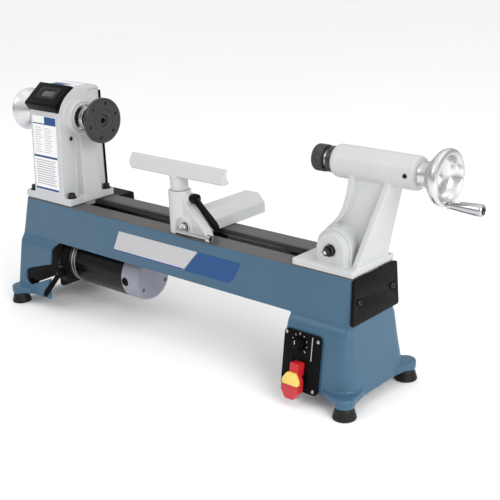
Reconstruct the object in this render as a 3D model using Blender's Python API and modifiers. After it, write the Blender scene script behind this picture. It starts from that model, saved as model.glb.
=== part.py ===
"""Bench wood lathe, 12 in swing and 18 in between centres, as an assembly of separate pieces.

Lengths in this file are in millimetres and every builder below turns them into metres.
The working frame has X along the bed (tailstock end positive), Y across it (the operator
stands on the negative side) and Z up from the bench; the spindle axis lies in the plane y = 0.
"""

import math

import bmesh
import bpy
from mathutils import Matrix, Vector

MM = 0.001
MERGE = 0.00001
GAP = 0.3  # clearance between pieces that touch

# Driving dimensions
BED_HALF_LENGTH = 376.5
BED_TOP = 205.0
BED_HALF_WIDTH = 52.5
WAY_THICKNESS = 12.0
SLOT_HALF_WIDTH = 18.0
APRON_BOTTOM = 130.0
WALL = 6.0
CENTRE_HEIGHT = 155.0
AXIS_Z = BED_TOP + CENTRE_HEIGHT
LEG_FOOT_Z = 21.0
LEFT_FOOT_X, RIGHT_FOOT_X, FOOT_Y = -390.0, 382.0, 81.0
FOOT_BOSS_TOP = 34.0

SPINDLE_R = 12.5
BEARING_R = 26.0
FACEPLATE_R = 40.0
FACEPLATE_X = -198.8
BELT_X = -324.0
SPINDLE_PULLEY_R = 27.0
MOTOR_PULLEY_R = 13.5

MOTOR_Y, MOTOR_Z, MOTOR_R = 5.0, 85.0, 44.0
MOTOR_PIVOT_Y, MOTOR_PIVOT_Z = 44.0, 116.0
TENSION_X, TENSION_Z, TENSION_LUG_Y = -281.0, 76.0, -60.0

POST_X, POST_Y, POST_R = 16.5, -33.0, 19.0
POST_TOP = 277.0
CLAMP_X, CLAMP_Z = 35.5, 219.0
CLAMP_HUB_R, CLAMP_HUB_Y = 15.5, -45.5
STEM_R = 12.4
SHAFT_R = 6.5
EYE_R = 10.5

TAIL_CLAMP_X, TAIL_CLAMP_Z = 331.5, 238.0
BARREL_R = 24.5
QUILL_R = 16.0
WHEEL_R = 40.0

PALE = ("casting_paint", (0.62, 0.63, 0.64), 0.45, 0.0)
BLUE = ("bed_paint", (0.11, 0.20, 0.30), 0.4, 0.0)
BLACK = ("black_plastic", (0.012, 0.012, 0.013), 0.45, 0.0)
RUBBER = ("rubber", (0.01, 0.01, 0.01), 0.8, 0.0)
STEEL = ("steel", (0.55, 0.55, 0.56), 0.3, 1.0)
DARK_STEEL = ("black_oxide_steel", (0.03, 0.03, 0.032), 0.4, 0.9)
ALUMINIUM = ("aluminium", (0.75, 0.75, 0.76), 0.28, 1.0)
MOTOR_GREY = ("motor_grey", (0.25, 0.26, 0.30), 0.45, 0.2)
GLASS = ("display_lens", (0.2, 0.23, 0.24), 0.15, 0.0)
RED = ("red_plastic", (0.5, 0.012, 0.02), 0.35, 0.0)
YELLOW = ("yellow_plastic", (0.82, 0.62, 0.12), 0.4, 0.0)

TURN = {
    "x": (0.0, math.pi / 2, 0.0),
    "-x": (0.0, -math.pi / 2, 0.0),
    "y": (-math.pi / 2, 0.0, 0.0),
    "-y": (math.pi / 2, 0.0, 0.0),
    "z": (0.0, 0.0, 0.0),
}
PLANE = {
    "xy": (0.0, 0.0, 0.0),
    "xz": (math.pi / 2, 0.0, 0.0),
    "yz": (math.pi / 2, 0.0, math.pi / 2),
}

for old in list(bpy.data.objects):
    bpy.data.objects.remove(old, do_unlink=True)

PARTS = bpy.data.collections.new("wood_lathe")
CUTTERS = bpy.data.collections.new("cutters")
bpy.context.scene.collection.children.link(PARTS)
bpy.context.scene.collection.children.link(CUTTERS)
places = {}


# Placing and finishing

def pivot(name, where, parent=None):
    """An empty on a joint's axis, which carries everything that moves with that joint."""
    empty = bpy.data.objects.new(name, None)
    empty.empty_display_size = 0.02
    PARTS.objects.link(empty)
    places[name] = Vector(where)
    if parent:
        empty.parent = parent
    empty.location = (places[name] - (places[parent.name] if parent else Vector())) * MM
    return empty


def put(obj, where, parent, turn=(0.0, 0.0, 0.0)):
    obj.parent = parent
    obj.location = (Vector(where) - places[parent.name]) * MM
    obj.rotation_euler = turn
    return obj


def painted(obj, finish):
    """Give an object its Principled material, made once for each finish."""
    name, colour, roughness, metallic = finish
    material = bpy.data.materials.get(name)
    if material is None:
        material = bpy.data.materials.new(name)
        material.use_nodes = True
        shader = material.node_tree.nodes["Principled BSDF"]
        shader.inputs["Base Color"].default_value = (*colour, 1.0)
        shader.inputs["Roughness"].default_value = roughness
        shader.inputs["Metallic"].default_value = metallic
    obj.data.materials.clear()
    obj.data.materials.append(material)
    return obj


def from_bmesh(name, mesh, finish):
    """A new object from a bmesh; a piece with no finish is a cutter or joins another piece."""
    data = bpy.data.meshes.new(name)
    mesh.to_mesh(data)
    mesh.free()
    obj = bpy.data.objects.new(name, data)
    if finish:
        PARTS.objects.link(obj)
        painted(obj, finish)
    else:
        CUTTERS.objects.link(obj)
        obj.hide_render = True
        obj.display_type = "WIRE"
    return obj


def smooth(obj, angle=35.0):
    obj.data.shade_smooth()
    obj.data.set_sharp_from_angle(angle=math.radians(angle))
    return obj


def bevel(obj, width, segments=1, angle=40.0):
    rounding = obj.modifiers.new("rounded_edges", "BEVEL")
    rounding.width = width * MM
    rounding.segments = segments
    rounding.limit_method = "ANGLE"
    rounding.angle_limit = math.radians(angle)
    return obj


def combine(target, operation, others):
    for other in others:
        step = target.modifiers.new(operation.lower() + "_" + other.name, "BOOLEAN")
        step.operation = operation
        step.solver = "EXACT"
        step.object = other
    return target


def cut(target, *cutters):
    return combine(target, "DIFFERENCE", cutters)


def join(target, *others):
    return combine(target, "UNION", others)


# Shapes

def block(name, low, high, parent, finish=None, edge=0.0):
    """A box between two corners."""
    low, high = Vector(low), Vector(high)
    mesh = bmesh.new()
    bmesh.ops.create_cube(mesh, size=1.0)
    bmesh.ops.scale(mesh, vec=(high - low) * MM, verts=mesh.verts)
    obj = from_bmesh(name, mesh, finish)
    put(obj, (low + high) / 2, parent)
    if edge:
        bevel(obj, edge)
    return obj


def cylinder(name, radius, length, start, axis, parent, finish=None, sides=24):
    """A cylinder from start, along axis, for length."""
    mesh = bmesh.new()
    bmesh.ops.create_cone(mesh, cap_ends=True, segments=sides, radius1=radius * MM,
                          radius2=radius * MM, depth=length * MM)
    bmesh.ops.rotate(mesh, matrix=Matrix.Rotation(math.pi / sides, 3, "Z"), verts=mesh.verts)
    bmesh.ops.translate(mesh, vec=(0, 0, length * MM / 2), verts=mesh.verts)
    return smooth(put(from_bmesh(name, mesh, finish), start, parent, TURN[axis]))


def turned(name, profile, start, axis, parent, finish=None, sides=32, ring=False):
    """A turned shape: (radius, height) points down its outer side, spun about its own axis."""
    mesh = bmesh.new()
    points = [mesh.verts.new((r * MM, 0.0, h * MM)) for r, h in profile]
    for one, other in zip(points, points[1:]):
        mesh.edges.new((one, other))
    if ring:
        mesh.edges.new((points[-1], points[0]))
    obj = from_bmesh(name, mesh, finish)
    spin = obj.modifiers.new("turned", "SCREW")
    spin.axis = "Z"
    spin.angle = math.tau
    spin.steps = sides
    spin.render_steps = sides
    spin.use_merge_vertices = True
    spin.merge_threshold = MERGE
    spin.use_smooth_shade = True
    return put(obj, start, parent, TURN[axis])


def rounded(outline, radius, steps=4):
    """The same closed outline with each corner replaced by an arc."""
    result = []
    count = len(outline)
    for i, corner in enumerate(outline):
        here = Vector(corner)
        before = (Vector(outline[i - 1]) - here).normalized()
        after = (Vector(outline[(i + 1) % count]) - here).normalized()
        half = before.angle(after) / 2
        if half > math.radians(84):
            result.append(corner)
            continue
        reach = radius / math.tan(half)
        centre = here + (before + after).normalized() * radius / math.sin(half)
        first = here + before * reach - centre
        last = here + after * reach - centre
        sweep = first.angle_signed(last)
        for k in range(steps + 1):
            spoke = first.copy()
            spoke.rotate(Matrix.Rotation(-sweep * k / steps, 2))
            result.append(tuple(centre + spoke))
    return result


def arc(centre, radius, start, end, steps):
    """Points along an arc, angles in degrees."""
    angles = [math.radians(start + (end - start) * k / steps) for k in range(steps + 1)]
    return [(centre[0] + radius * math.cos(a), centre[1] + radius * math.sin(a)) for a in angles]


def solid_from_curve(obj, finish):
    """Turn a curve object into a closed mesh object in the same place."""
    bpy.context.view_layer.update()
    graph = bpy.context.evaluated_depsgraph_get()
    data = bpy.data.meshes.new_from_object(obj.evaluated_get(graph))
    mesh = bmesh.new()
    mesh.from_mesh(data)
    bmesh.ops.remove_doubles(mesh, verts=mesh.verts, dist=MERGE)
    bmesh.ops.recalc_face_normals(mesh, faces=mesh.faces)
    name = obj.name
    matrix = obj.matrix_world.copy()
    obj.name = name + "_curve"
    solid = from_bmesh(name, mesh, finish)
    solid.matrix_world = matrix
    bpy.data.meshes.remove(data)
    bpy.data.curves.remove(obj.data)
    return solid


def prism(name, outline, plane, low, high, parent, finish=None, edge=0.0):
    """A flat outline in a plane, given its thickness between low and high across that plane."""
    curve = bpy.data.curves.new(name, "CURVE")
    curve.dimensions = "2D"
    curve.fill_mode = "BOTH"
    curve.extrude = (high - low) / 2 * MM
    spline = curve.splines.new("POLY")
    spline.points.add(len(outline) - 1)
    for point, (u, v) in zip(spline.points, outline):
        point.co = (u * MM, v * MM, 0.0, 1.0)
    spline.use_cyclic_u = True
    obj = bpy.data.objects.new(name, curve)
    PARTS.objects.link(obj)
    solid = solid_from_curve(obj, finish)
    middle = (low + high) / 2
    where = {"xy": (0, 0, middle), "xz": (0, middle, 0), "yz": (middle, 0, 0)}[plane]
    put(solid, where, parent, PLANE[plane])
    if edge:
        bevel(solid, edge)
    return solid


def rod(name, points, radius, parent, finish=None, sides=3, radii=None):
    """A round bar through points, with filled ends."""
    curve = bpy.data.curves.new(name, "CURVE")
    curve.dimensions = "3D"
    curve.bevel_depth = radius * MM
    curve.bevel_resolution = sides
    curve.use_fill_caps = True
    spline = curve.splines.new("POLY")
    spline.points.add(len(points) - 1)
    for i, (point, co) in enumerate(zip(spline.points, points)):
        point.co = (*(Vector(co) - Vector(points[0])) * MM, 1.0)
        point.radius = radii[i] if radii else 1.0
    obj = bpy.data.objects.new(name, curve)
    PARTS.objects.link(obj)
    solid = solid_from_curve(obj, finish)
    return smooth(put(solid, points[0], parent))


def loft(name, sections, parent, finish=None):
    """Skin a stack of sections that have equal numbers of points, each a list of (x, y, z)."""
    mesh = bmesh.new()
    rings = [[mesh.verts.new(Vector(p) * MM) for p in section] for section in sections]
    for lower, upper in zip(rings, rings[1:]):
        for i in range(len(lower)):
            j = (i + 1) % len(lower)
            mesh.faces.new((lower[i], lower[j], upper[j], upper[i]))
    mesh.faces.new(rings[0][::-1])
    mesh.faces.new(rings[-1])
    bmesh.ops.recalc_face_normals(mesh, faces=mesh.faces)
    return put(from_bmesh(name, mesh, finish), (0, 0, 0), parent)


def rectangle(x0, x1, y0, y1, z, corner=0.0, steps=3):
    """A level rectangle with rounded corners, as a section for a loft."""
    outline = [(x0, y0), (x1, y0), (x1, y1), (x0, y1)]
    if corner:
        outline = rounded(outline, corner, steps)
    return [(x, y, z) for x, y in outline]


# Bed

def leg_half_width(z):
    """Half the bed's width at a height: upright apron above, flaring legs below."""
    if z >= APRON_BOTTOM:
        return 56.5 - 3.0 * (z - APRON_BOTTOM) / (BED_TOP - APRON_BOTTOM)
    return 56.5 + 22.5 * ((APRON_BOTTOM - z) / (APRON_BOTTOM - LEG_FOOT_Z)) ** 0.6


def leg_half_length(z):
    if z >= APRON_BOTTOM:
        return BED_HALF_LENGTH
    return BED_HALF_LENGTH + 13.0 * ((APRON_BOTTOM - z) / (APRON_BOTTOM - LEG_FOOT_Z)) ** 1.3


def left_end(z):
    """How far the wall below the headstock stands from the middle; it leans out towards the feet."""
    if z >= APRON_BOTTOM:
        return 378.0 + 20.0 * (BED_TOP - z) / (BED_TOP - APRON_BOTTOM)
    return 398.0 + 7.0 * (APRON_BOTTOM - z) / (APRON_BOTTOM - LEG_FOOT_Z)


def leg_corner(z, growth):
    """Radius of the bed's upright corners: tight on the apron, wider by growth at the feet."""
    if z >= APRON_BOTTOM:
        return 7.0
    return 7.0 + growth * ((APRON_BOTTOM - z) / (APRON_BOTTOM - LEG_FOOT_Z)) ** 0.5


def bed_section(z, inset, steps=3):
    """The bed's outline at a height, with its walls moved in by inset."""
    left, right = inset - left_end(z), leg_half_length(z) - inset
    half = leg_half_width(z) - inset
    a = max(leg_corner(z, 3.0) - inset, 4.0)
    b = max(leg_corner(z, 17.0) - inset, 4.0)
    outline = arc((left + a, a - half), a, 180, 270, steps) + arc((right - b, b - half), b, 270, 360, steps)
    outline += arc((right - b, half - b), b, 0, 90, steps) + arc((left + a, half - a), a, 90, 180, steps)
    return [(x, y, z) for x, y in outline]


def bed_body(name, inset, heights, parent, finish=None):
    return loft(name, [bed_section(z, inset) for z in heights], parent, finish)


def drill_pattern(name, points, radius, z0, z1, parent, sides=10):
    """Several upright round cutters in one mesh."""
    mesh = bmesh.new()
    for x, y in points:
        made = bmesh.ops.create_cone(mesh, cap_ends=True, segments=sides, radius1=radius * MM,
                                     radius2=radius * MM, depth=(z1 - z0) * MM)
        bmesh.ops.translate(mesh, vec=Vector((x, y, (z0 + z1) / 2)) * MM, verts=made["verts"])
    return put(from_bmesh(name, mesh, None), (0, 0, 0), parent)


HEAD_BOLTS = [(x, y) for x in (-364.0, -256.0) for y in (-41.0, 41.0)]
FEET = {
    "front_left": (LEFT_FOOT_X, -FOOT_Y),
    "front_right": (RIGHT_FOOT_X, -FOOT_Y),
    "rear_left": (LEFT_FOOT_X, FOOT_Y),
    "rear_right": (RIGHT_FOOT_X, FOOT_Y),
}


def foot_ear(x, y, steps):
    """The outline, seen from above, of the ledge that carries a foot at a corner of a leg."""
    end, side = math.copysign(1.0, x), math.copysign(1.0, y)
    shape = [(-10.0, -37.0), (9.0, -37.0)] + arc((0.0, 0.0), 16.0, -30.0, 100.0, steps)
    shape += [(-37.0, 3.0), (-37.0, -19.0)]
    return [(x + end * u, y + side * v) for u, v in shape]


def build_bed(root):
    levels = (LEG_FOOT_Z, 45.0, 70.0, 92.0, 110.0, 121.0, 127.0, APRON_BOTTOM, 150.0, BED_TOP)
    bed = bed_body("bed_casting", 0.0, levels, root, BLUE)
    hollow_levels = (LEG_FOOT_Z - 5.0, 45.0, 70.0, 92.0, 110.0, 121.0, APRON_BOTTOM,
                     BED_TOP - WAY_THICKNESS)
    hollow = bed_body("bed_hollow", WALL, hollow_levels, root)
    arch = [(-306.0, -5.0), (262.0, -5.0), (264.0, 112.0), (265.5, APRON_BOTTOM),
            (-288.5, APRON_BOTTOM), (-304.5, 116.0)]
    arch_cut = prism("bed_arch", arch, "xz", -120.0, 120.0, root)
    slot = block("bed_slot", (-246.0, -SLOT_HALF_WIDTH, 180.0),
                 (BED_HALF_LENGTH + 20, SLOT_HALF_WIDTH, BED_TOP + 10), root)
    belt_way = block("bed_belt_way", (-349.0, -33.0, 180.0), (-299.0, 33.0, BED_TOP + 10), root)
    tenon_seat = block("bed_tenon_seat", (-350.0, -SLOT_HALF_WIDTH, 190.0),
                       (-240.0, SLOT_HALF_WIDTH, BED_TOP + 10), root)
    lever_slot = prism("bed_lever_slot", rounded(
        [(-376.0, 31.0), (-290.0, 67.0), (-290.0, 92.5), (-381.0, 64.5)], 15.0), "xz",
        -110.0, -40.0, root)
    drills = drill_pattern("bed_drills", HEAD_BOLTS, 4.3, 185.0, 215.0, root)
    ribs = [block("bed_rib_" + str(i), (x - 4, -54.0, 134.0), (x + 4, 54.0, 168.0), root)
            for i, x in enumerate((-60.0, 170.0))]
    boss = [(0, 16.7), (13.5, 16.7), (15.5, 14.5), (15.5, 3.0), (14.3, 0), (0, 0)]
    bosses = [turned("boss_" + name, boss, (x, y, FOOT_BOSS_TOP - 16.7), "z", root, None, 24)
              for name, (x, y) in FEET.items()]
    ears = [prism("ear_" + name, foot_ear(x, y, 8), "xy", 21.5, FOOT_BOSS_TOP - 1.5, root)
            for name, (x, y) in FEET.items()]
    stud_holes = drill_pattern("foot_stud_holes", FEET.values(), 4.3, 10.0, 32.6, root)
    cut(bed, hollow)
    join(bed, *ribs)
    cut(bed, arch_cut, slot, belt_way, tenon_seat, lever_slot, drills)
    join(bed, *ears, *bosses)
    cut(bed, stud_holes)
    for name, (x, y) in FEET.items():
        profile = [(0, 32), (4, 32), (4, 17), (14.2, 17), (18.2, 2), (17.2, 0), (0, 0)]
        turned("foot_" + name, profile, (x, y, 0), "z", root, RUBBER, 18)
    return bed


def build_bed_fittings(root):
    inner, outer = BED_HALF_LENGTH + GAP, BED_HALF_LENGTH + 5.0
    outline = rounded([(-60.0, 134.0), (60.0, 134.0), (54.0, 203.0), (-54.0, 203.0)], 4.0)
    cover = prism("right_end_cover", outline, "yz", inner, outer, root, BLACK, 0.8)
    for place, y in (("front", -42.0), ("rear", 42.0)):
        cut(cover, cylinder("cover_hole_" + place, 3.3, 14.0, (inner - 4, y, 168.0), "x", root,
                            sides=12))
        screw = [(0, 2.6), (5.0, 1.6), (5.0, GAP), (3.0, GAP), (3.0, -4.4), (0, -4.4)]
        turned("end_cover_screw_" + place, screw, (outer, y, 168.0), "x", root, DARK_STEEL, 12)

    low, high, back = APRON_BOTTOM + 1.0, BED_TOP - 3.0, 96.0
    side = [(leg_half_width(low) + GAP, low), (back, low), (back, high),
            (leg_half_width(high) + GAP, high)]
    box = prism("controller_box", side, "yz", -368.0, -240.0, root, BLACK, 3.0)
    vents = [block("controller_vent_" + str(i), (-340.0, back - 1, z), (-268.0, back + 3, z + 3), root)
             for i, z in enumerate((140.0, 148.0, 156.0))]
    cut(box, *vents)


def panel_frame(root):
    """An empty on the right leg's flared front face; its local Y runs out of the face."""
    z = 64.0
    slope = math.atan2(leg_half_width(z - 40) - leg_half_width(z + 40), 80.0)
    face = pivot("panel_face", (299.0, -leg_half_width(z) - 1.2, z), root)
    face.rotation_euler = (-slope, 0.0, 0.0)
    return face


def build_switch(root, bed):
    face = panel_frame(root)
    centre = places[face.name]

    def local(x, out, up):
        """A place on the panel: along it, out of it and up it, as seen by a child of the face."""
        return (centre.x + x, centre.y - out, centre.z + up)

    outline = rounded([(-34.5, -46.0), (34.5, -46.0), (34.5, 46.0), (-34.5, 46.0)], 7.0)
    outline = [(u + centre.x, v + centre.z) for u, v in outline]
    panel = prism("switch_panel", outline, "xz", centre.y - 3.2, centre.y, face, BLACK, 0.7)
    rocker_hole = block("rocker_hole", local(-14, 12, -28), local(12, -12, 4), face)
    knob_hole = cylinder("knob_hole", 3.3, 30.0, local(-4, -20, 28), "-y", face, sides=14)
    cut(panel, rocker_hole, knob_hole)
    body_hole = block("switch_body_hole", local(-16.0, 6.0, -30.0), local(14.0, -30.0, 6.0), face)
    cut(bed, body_hole, knob_hole)
    switch_body = block("switch_body", local(-13.6, 2.6, -27.6), local(11.6, -22.0, 3.6), face,
                        BLACK)
    pocket = block("switch_pocket", local(-9.5, 6.0, -24), local(7.5, -6.0, 0.5), face)
    cut(switch_body, pocket)

    knob_axis = pivot("speed_knob_axis", local(-4, 3.2, 28), face)
    profile = [(0, 14), (7.0, 14), (8.0, 12.8), (9.6, 3), (9.6, 0.5), (3.0, 0.5), (3.0, -9), (0, -9)]
    turned("speed_knob", profile, local(-4, 3.2, 28), "-y", knob_axis, BLACK, 16)

    hinge = pivot("paddle_hinge", local(-1, 1.0, -2.5), face)
    stem = block("paddle_stem", local(-9.0, 17.0, -20.0), local(6.6, -3.0, 0.0), hinge, None)
    plate_outline = rounded([(-18.0, -42.0), (-9.5, -54.5), (5.5, -54.5), (14.0, -42.0),
                             (14.0, -25.0), (6.6, -13.0), (-9.0, -13.0), (-18.0, -25.0)], 3.5, 2)
    plate_outline = [(u + centre.x, v + centre.z) for u, v in plate_outline]
    paddle = prism("switch_paddle", plate_outline, "xz", centre.y - 23.0, centre.y - 11.0, hinge,
                   RED, 1.0)
    key_slot = block("key_slot", local(-22.0, 30.0, -33.0), local(18.0, 18.0, -9.0), hinge)
    key_bore = block("key_bore", local(-6.5, 19.0, -27.0), local(2.5, 5.0, -19.0), hinge)
    join(paddle, stem)
    cut(paddle, key_slot, key_bore)
    key_axis = pivot("safety_key_pull", local(-2, 18.3, -22.0), hinge)
    key_outline = rounded([(-17.4, -32.6), (13.4, -32.6), (13.4, -25.0), (6.2, -13.4),
                           (-8.6, -13.4), (-17.4, -25.0)], 3.0, 2)
    key_outline = [(u + centre.x, v + centre.z) for u, v in key_outline]
    key = prism("safety_key", key_outline, "xz", centre.y - 24.0, centre.y - 18.3, key_axis,
                YELLOW, 0.8)
    tongue = block("key_tongue", local(-6.0, 20.0, -26.5), local(2.0, 7.0, -19.5), key_axis)
    join(key, tongue)


# Headstock

COLUMN_X = (-351.5, -268.5)


CROWN_Y, CROWN_Z, CROWN_R = 17.9, 352.1, 64.0
CROWN_START, CROWN_END = 161.9, 111.9


def crown(radius, steps):
    """The rounded front of the column's top, in (y, z)."""
    return arc((CROWN_Y, CROWN_Z), radius, CROWN_START, CROWN_END, steps)


def column_outline(inset=0.0):
    """The headstock's side outline, front to rear, in (y, z)."""
    floor = 206.0 + 13.0 * (inset > 0)
    return ([(-52.0 + inset, floor)] + crown(CROWN_R - inset, 6)
            + [(46.0 - inset, 411.5 - inset), (54.0 - inset, 405.0 - inset), (54.0 - inset, floor)])


def build_headstock(root):
    left, right = COLUMN_X
    body = prism("headstock_casting", column_outline(), "yz", left, right, root,
                 PALE)
    base = block("headstock_base", (-BED_HALF_LENGTH, -BED_HALF_WIDTH, BED_TOP + GAP),
                 (-248.5, BED_HALF_WIDTH, BED_TOP + 13.9), root, None, 2.0)
    buttress = loft("headstock_buttress", [rectangle(-272.0, -245.0, -19.0, 23.5, BED_TOP + 2.0),
                                           rectangle(-272.0, -255.5, -9.0, 17.5, 338.0)], root)
    tenon = block("headstock_tenon", (-348.0, -SLOT_HALF_WIDTH + 0.5, 194.0),
                  (-249.5, SLOT_HALF_WIDTH - 0.5, BED_TOP + 6), root)
    front_boss = turned("headstock_boss", [(0, 15), (30, 15), (34, 0), (34, -4), (0, -4)],
                        (right, 0, AXIS_Z), "x", root, None, 28)
    rear_boss = turned("headstock_rear_boss", [(0, 14), (30, 14), (33, 0), (33, -4), (0, -4)],
                       (left, 0, AXIS_Z), "-x", root, None, 28)
    lugs = [block("hinge_lug_" + str(i), (left - 8.0, 46.0, z), (left + 6.0, 61.0, z + 12.0), root)
            for i, z in enumerate((226.0, 387.0))]
    hollow = prism("headstock_hollow", column_outline(WALL), "yz", left + WALL, right - WALL, root)
    rear_opening = block("headstock_opening", (left + WALL, 30.0, 225.0),
                         (right - WALL, 80.0, 392.0), root)
    belt_way = block("headstock_belt_way", (-347.5, -32.0, 185.0), (-299.5, 32.0, 224.0), root)
    bearing_bore = cylinder("bearing_bore", BEARING_R + GAP, 160.0, (-400.0, 0, AXIS_Z), "x", root,
                            sides=32)
    drills = drill_pattern("headstock_drills", HEAD_BOLTS, 4.3, 195.0, 240.0, root)
    lock_hole = cylinder("lock_hole", 4.0, 12.0, (right - 4.0, -20.0, 323.0), "x", root, sides=16)
    relief = prism("headstock_relief", [(46.0, 222.0), (60.0, 222.0), (60.0, 404.0), (24.0, 404.0)],
                   "yz", right - 3.0, right + 3.0, root)
    pin_bore = cylinder("pin_bore", 2.3, 200.0, (left - 4.0, 57.0, 216.0), "z", root, sides=16)
    join(body, base, tenon, buttress, front_boss, rear_boss, *lugs)
    cut(body, hollow, rear_opening, belt_way, bearing_bore, drills, lock_hole, relief, pin_bore)
    for i, (x, y) in enumerate(HEAD_BOLTS):
        bolt = turned("headstock_bolt_" + str(i + 1),
                      [(0, 9), (6.5, 8.6), (6.5, GAP), (4.0, GAP), (4.0, -22), (0, -22)],
                      (x, y, BED_TOP + 13.9), "z", root, DARK_STEEL, 12)
        cut(bolt, cylinder("hex_" + str(i + 1), 3.2, 8.0, (x, y, BED_TOP + 18.5), "z", root, sides=6))

    for name, x in (("front_bearing", right - 3.0), ("rear_bearing", left - 12.0)):
        ring = [(SPINDLE_R + GAP, 15), (BEARING_R, 15), (BEARING_R, 0), (SPINDLE_R + GAP, 0)]
        turned(name, ring, (x, 0, AXIS_Z), "x", root, STEEL, 24, ring=True)

    pod_outline = [(-51.5, 384.5), (-50.0, 388.0), (-12.0, 417.5), (-4.6, 414.0)]
    pod_outline += crown(CROWN_R + GAP, 6)[::-1]
    pod = prism("display_housing", pod_outline, "yz", left - 3.5, right + 0.5, root, BLACK, 0.8)
    tilt = math.atan2(29.5, 38.0)
    window_frame = pivot("display_face", (-309.0, -31.0, 402.75), root)
    window_frame.rotation_euler = (tilt, 0.0, 0.0)
    cx, cy, cz = places[window_frame.name]
    recess = block("display_recess", (cx - 24, cy - 10.5, cz - 1.2), (cx + 24, cy + 10.5, cz + 6),
                   window_frame)
    cut(pod, recess)
    block("display_window", (cx - 23.6, cy - 10.1, cz - 0.9), (cx + 23.6, cy + 10.1, cz - 0.1),
          window_frame, GLASS)
    cylinder("door_hinge_pin", 2.0, 174.0, (left - 4.0, 57.0, 225.5), "z", root, STEEL, 14)


def build_belt_door(root):
    left, right = COLUMN_X
    hinge = pivot("belt_door_hinge", (left - 4.0, 57.0, 310.0), root)
    door = block("belt_door", (left + 1.0, 54.0 + GAP, 223.0), (right, 57.0, 400.0), hinge, BLACK, 0.8)
    notch = [block("door_notch_" + str(i), (left - 2.0, 50.0, z0), (left + 7.5, 64.0, z1), hinge)
             for i, (z0, z1) in enumerate(((220.0, 240.0), (385.0, 406.0)))]
    knuckle = cylinder("door_knuckle", 4.0, 140.0, (left - 4.0, 57.0, 242.0), "z", hinge, sides=20)
    web = block("door_web", (left - 4.0, 55.0, 242.0), (left + 3.0, 57.0, 382.0), hinge)
    bore = cylinder("knuckle_bore", 2.4, 180.0, (left - 4.0, 57.0, 220.0), "z", hinge, sides=16)
    grip = block("door_grip", (right - 16.0, 56.0, 300.0), (right - 8.0, 62.0, 330.0), hinge)
    cut(door, *notch)
    join(door, knuckle, web, grip)
    cut(door, bore)


def build_spindle(root):
    axis = pivot("spindle_axis", (FACEPLATE_X, 0, AXIS_Z), root)
    nose = FACEPLATE_X - 2.0
    spindle = turned("spindle", [(0, 192), (9.6, 192), (9.6, 160), (22.0, 160), (22.0, 152),
                                 (21.0, 150), (SPINDLE_R, 150), (SPINDLE_R, 11.8), (9.9, 11.8),
                                 (9.9, 0), (0, 0)],
                     (nose - 192.0, 0, AXIS_Z), "x", axis, STEEL, 20)
    cut(spindle, cylinder("spindle_bore", 5.0, 230.0, (-410.0, 0, AXIS_Z), "x", axis, sides=12))

    plate = turned("faceplate", [(9.9, 0), (39.0, 0), (FACEPLATE_R, -1), (FACEPLATE_R, -8), (22.0, -8),
                                 (20.5, -32), (9.9, -32)],
                   (FACEPLATE_X, 0, AXIS_Z), "x", axis, BLACK, 32, ring=True)
    mesh = bmesh.new()
    for k in range(6):
        angle = math.radians(60 * k + 15)
        made = bmesh.ops.create_cone(mesh, cap_ends=True, segments=8, radius1=2.4 * MM,
                                     radius2=2.4 * MM, depth=20 * MM)
        offset = Vector((30.0 * math.cos(angle), 30.0 * math.sin(angle), 0)) * MM
        bmesh.ops.translate(mesh, vec=offset, verts=made["verts"])
    holes = put(from_bmesh("faceplate_holes", mesh, None), (FACEPLATE_X - 4, 0, AXIS_Z), axis,
                TURN["x"])
    cut(plate, holes)

    # the wheel's dish opens towards the end of the lathe
    wheel = [(10.3, 12), (19.0, 13), (31.0, 29), (34.0, 32), (38.0, 32), (39.5, 28), (25.0, 6),
             (17.0, 0), (10.3, 0)]
    turned("spindle_handwheel", wheel, (-381.5, 0, AXIS_Z), "-x", axis, ALUMINIUM, 32, ring=True)
    groove = SPINDLE_PULLEY_R
    pulley = [(SPINDLE_R + GAP, 12), (groove + 2.5, 12), (groove + 2.5, 9), (groove, 8.5),
              (groove, -8.5), (groove + 2.5, -9), (groove + 2.5, -12), (SPINDLE_R + GAP, -12)]
    turned("spindle_pulley", pulley, (BELT_X, 0, AXIS_Z), "x", axis, ALUMINIUM, 24, ring=True)


def belt_outline(extra):
    """The belt's loop around both pulleys, in (y, z), standing extra off the grooves."""
    top, bottom = SPINDLE_PULLEY_R + extra, MOTOR_PULLEY_R + extra
    run = Vector((MOTOR_Y, MOTOR_Z - AXIS_Z))
    heading = math.degrees(math.atan2(run.y, run.x))
    spread = math.degrees(math.acos((top - bottom) / run.length))
    upper = arc((0, AXIS_Z), top, heading + spread, heading + 360 - spread, 18)
    lower = arc((MOTOR_Y, MOTOR_Z), bottom, heading - spread, heading + spread, 8)
    return upper + lower


def build_belt(root):
    belt = prism("drive_belt", belt_outline(3.6), "yz", BELT_X - 8.0, BELT_X + 8.0, root, RUBBER)
    inner = prism("belt_inside", belt_outline(0.5), "yz", BELT_X - 12.0, BELT_X + 12.0, root)
    cut(belt, inner)


# Motor

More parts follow.
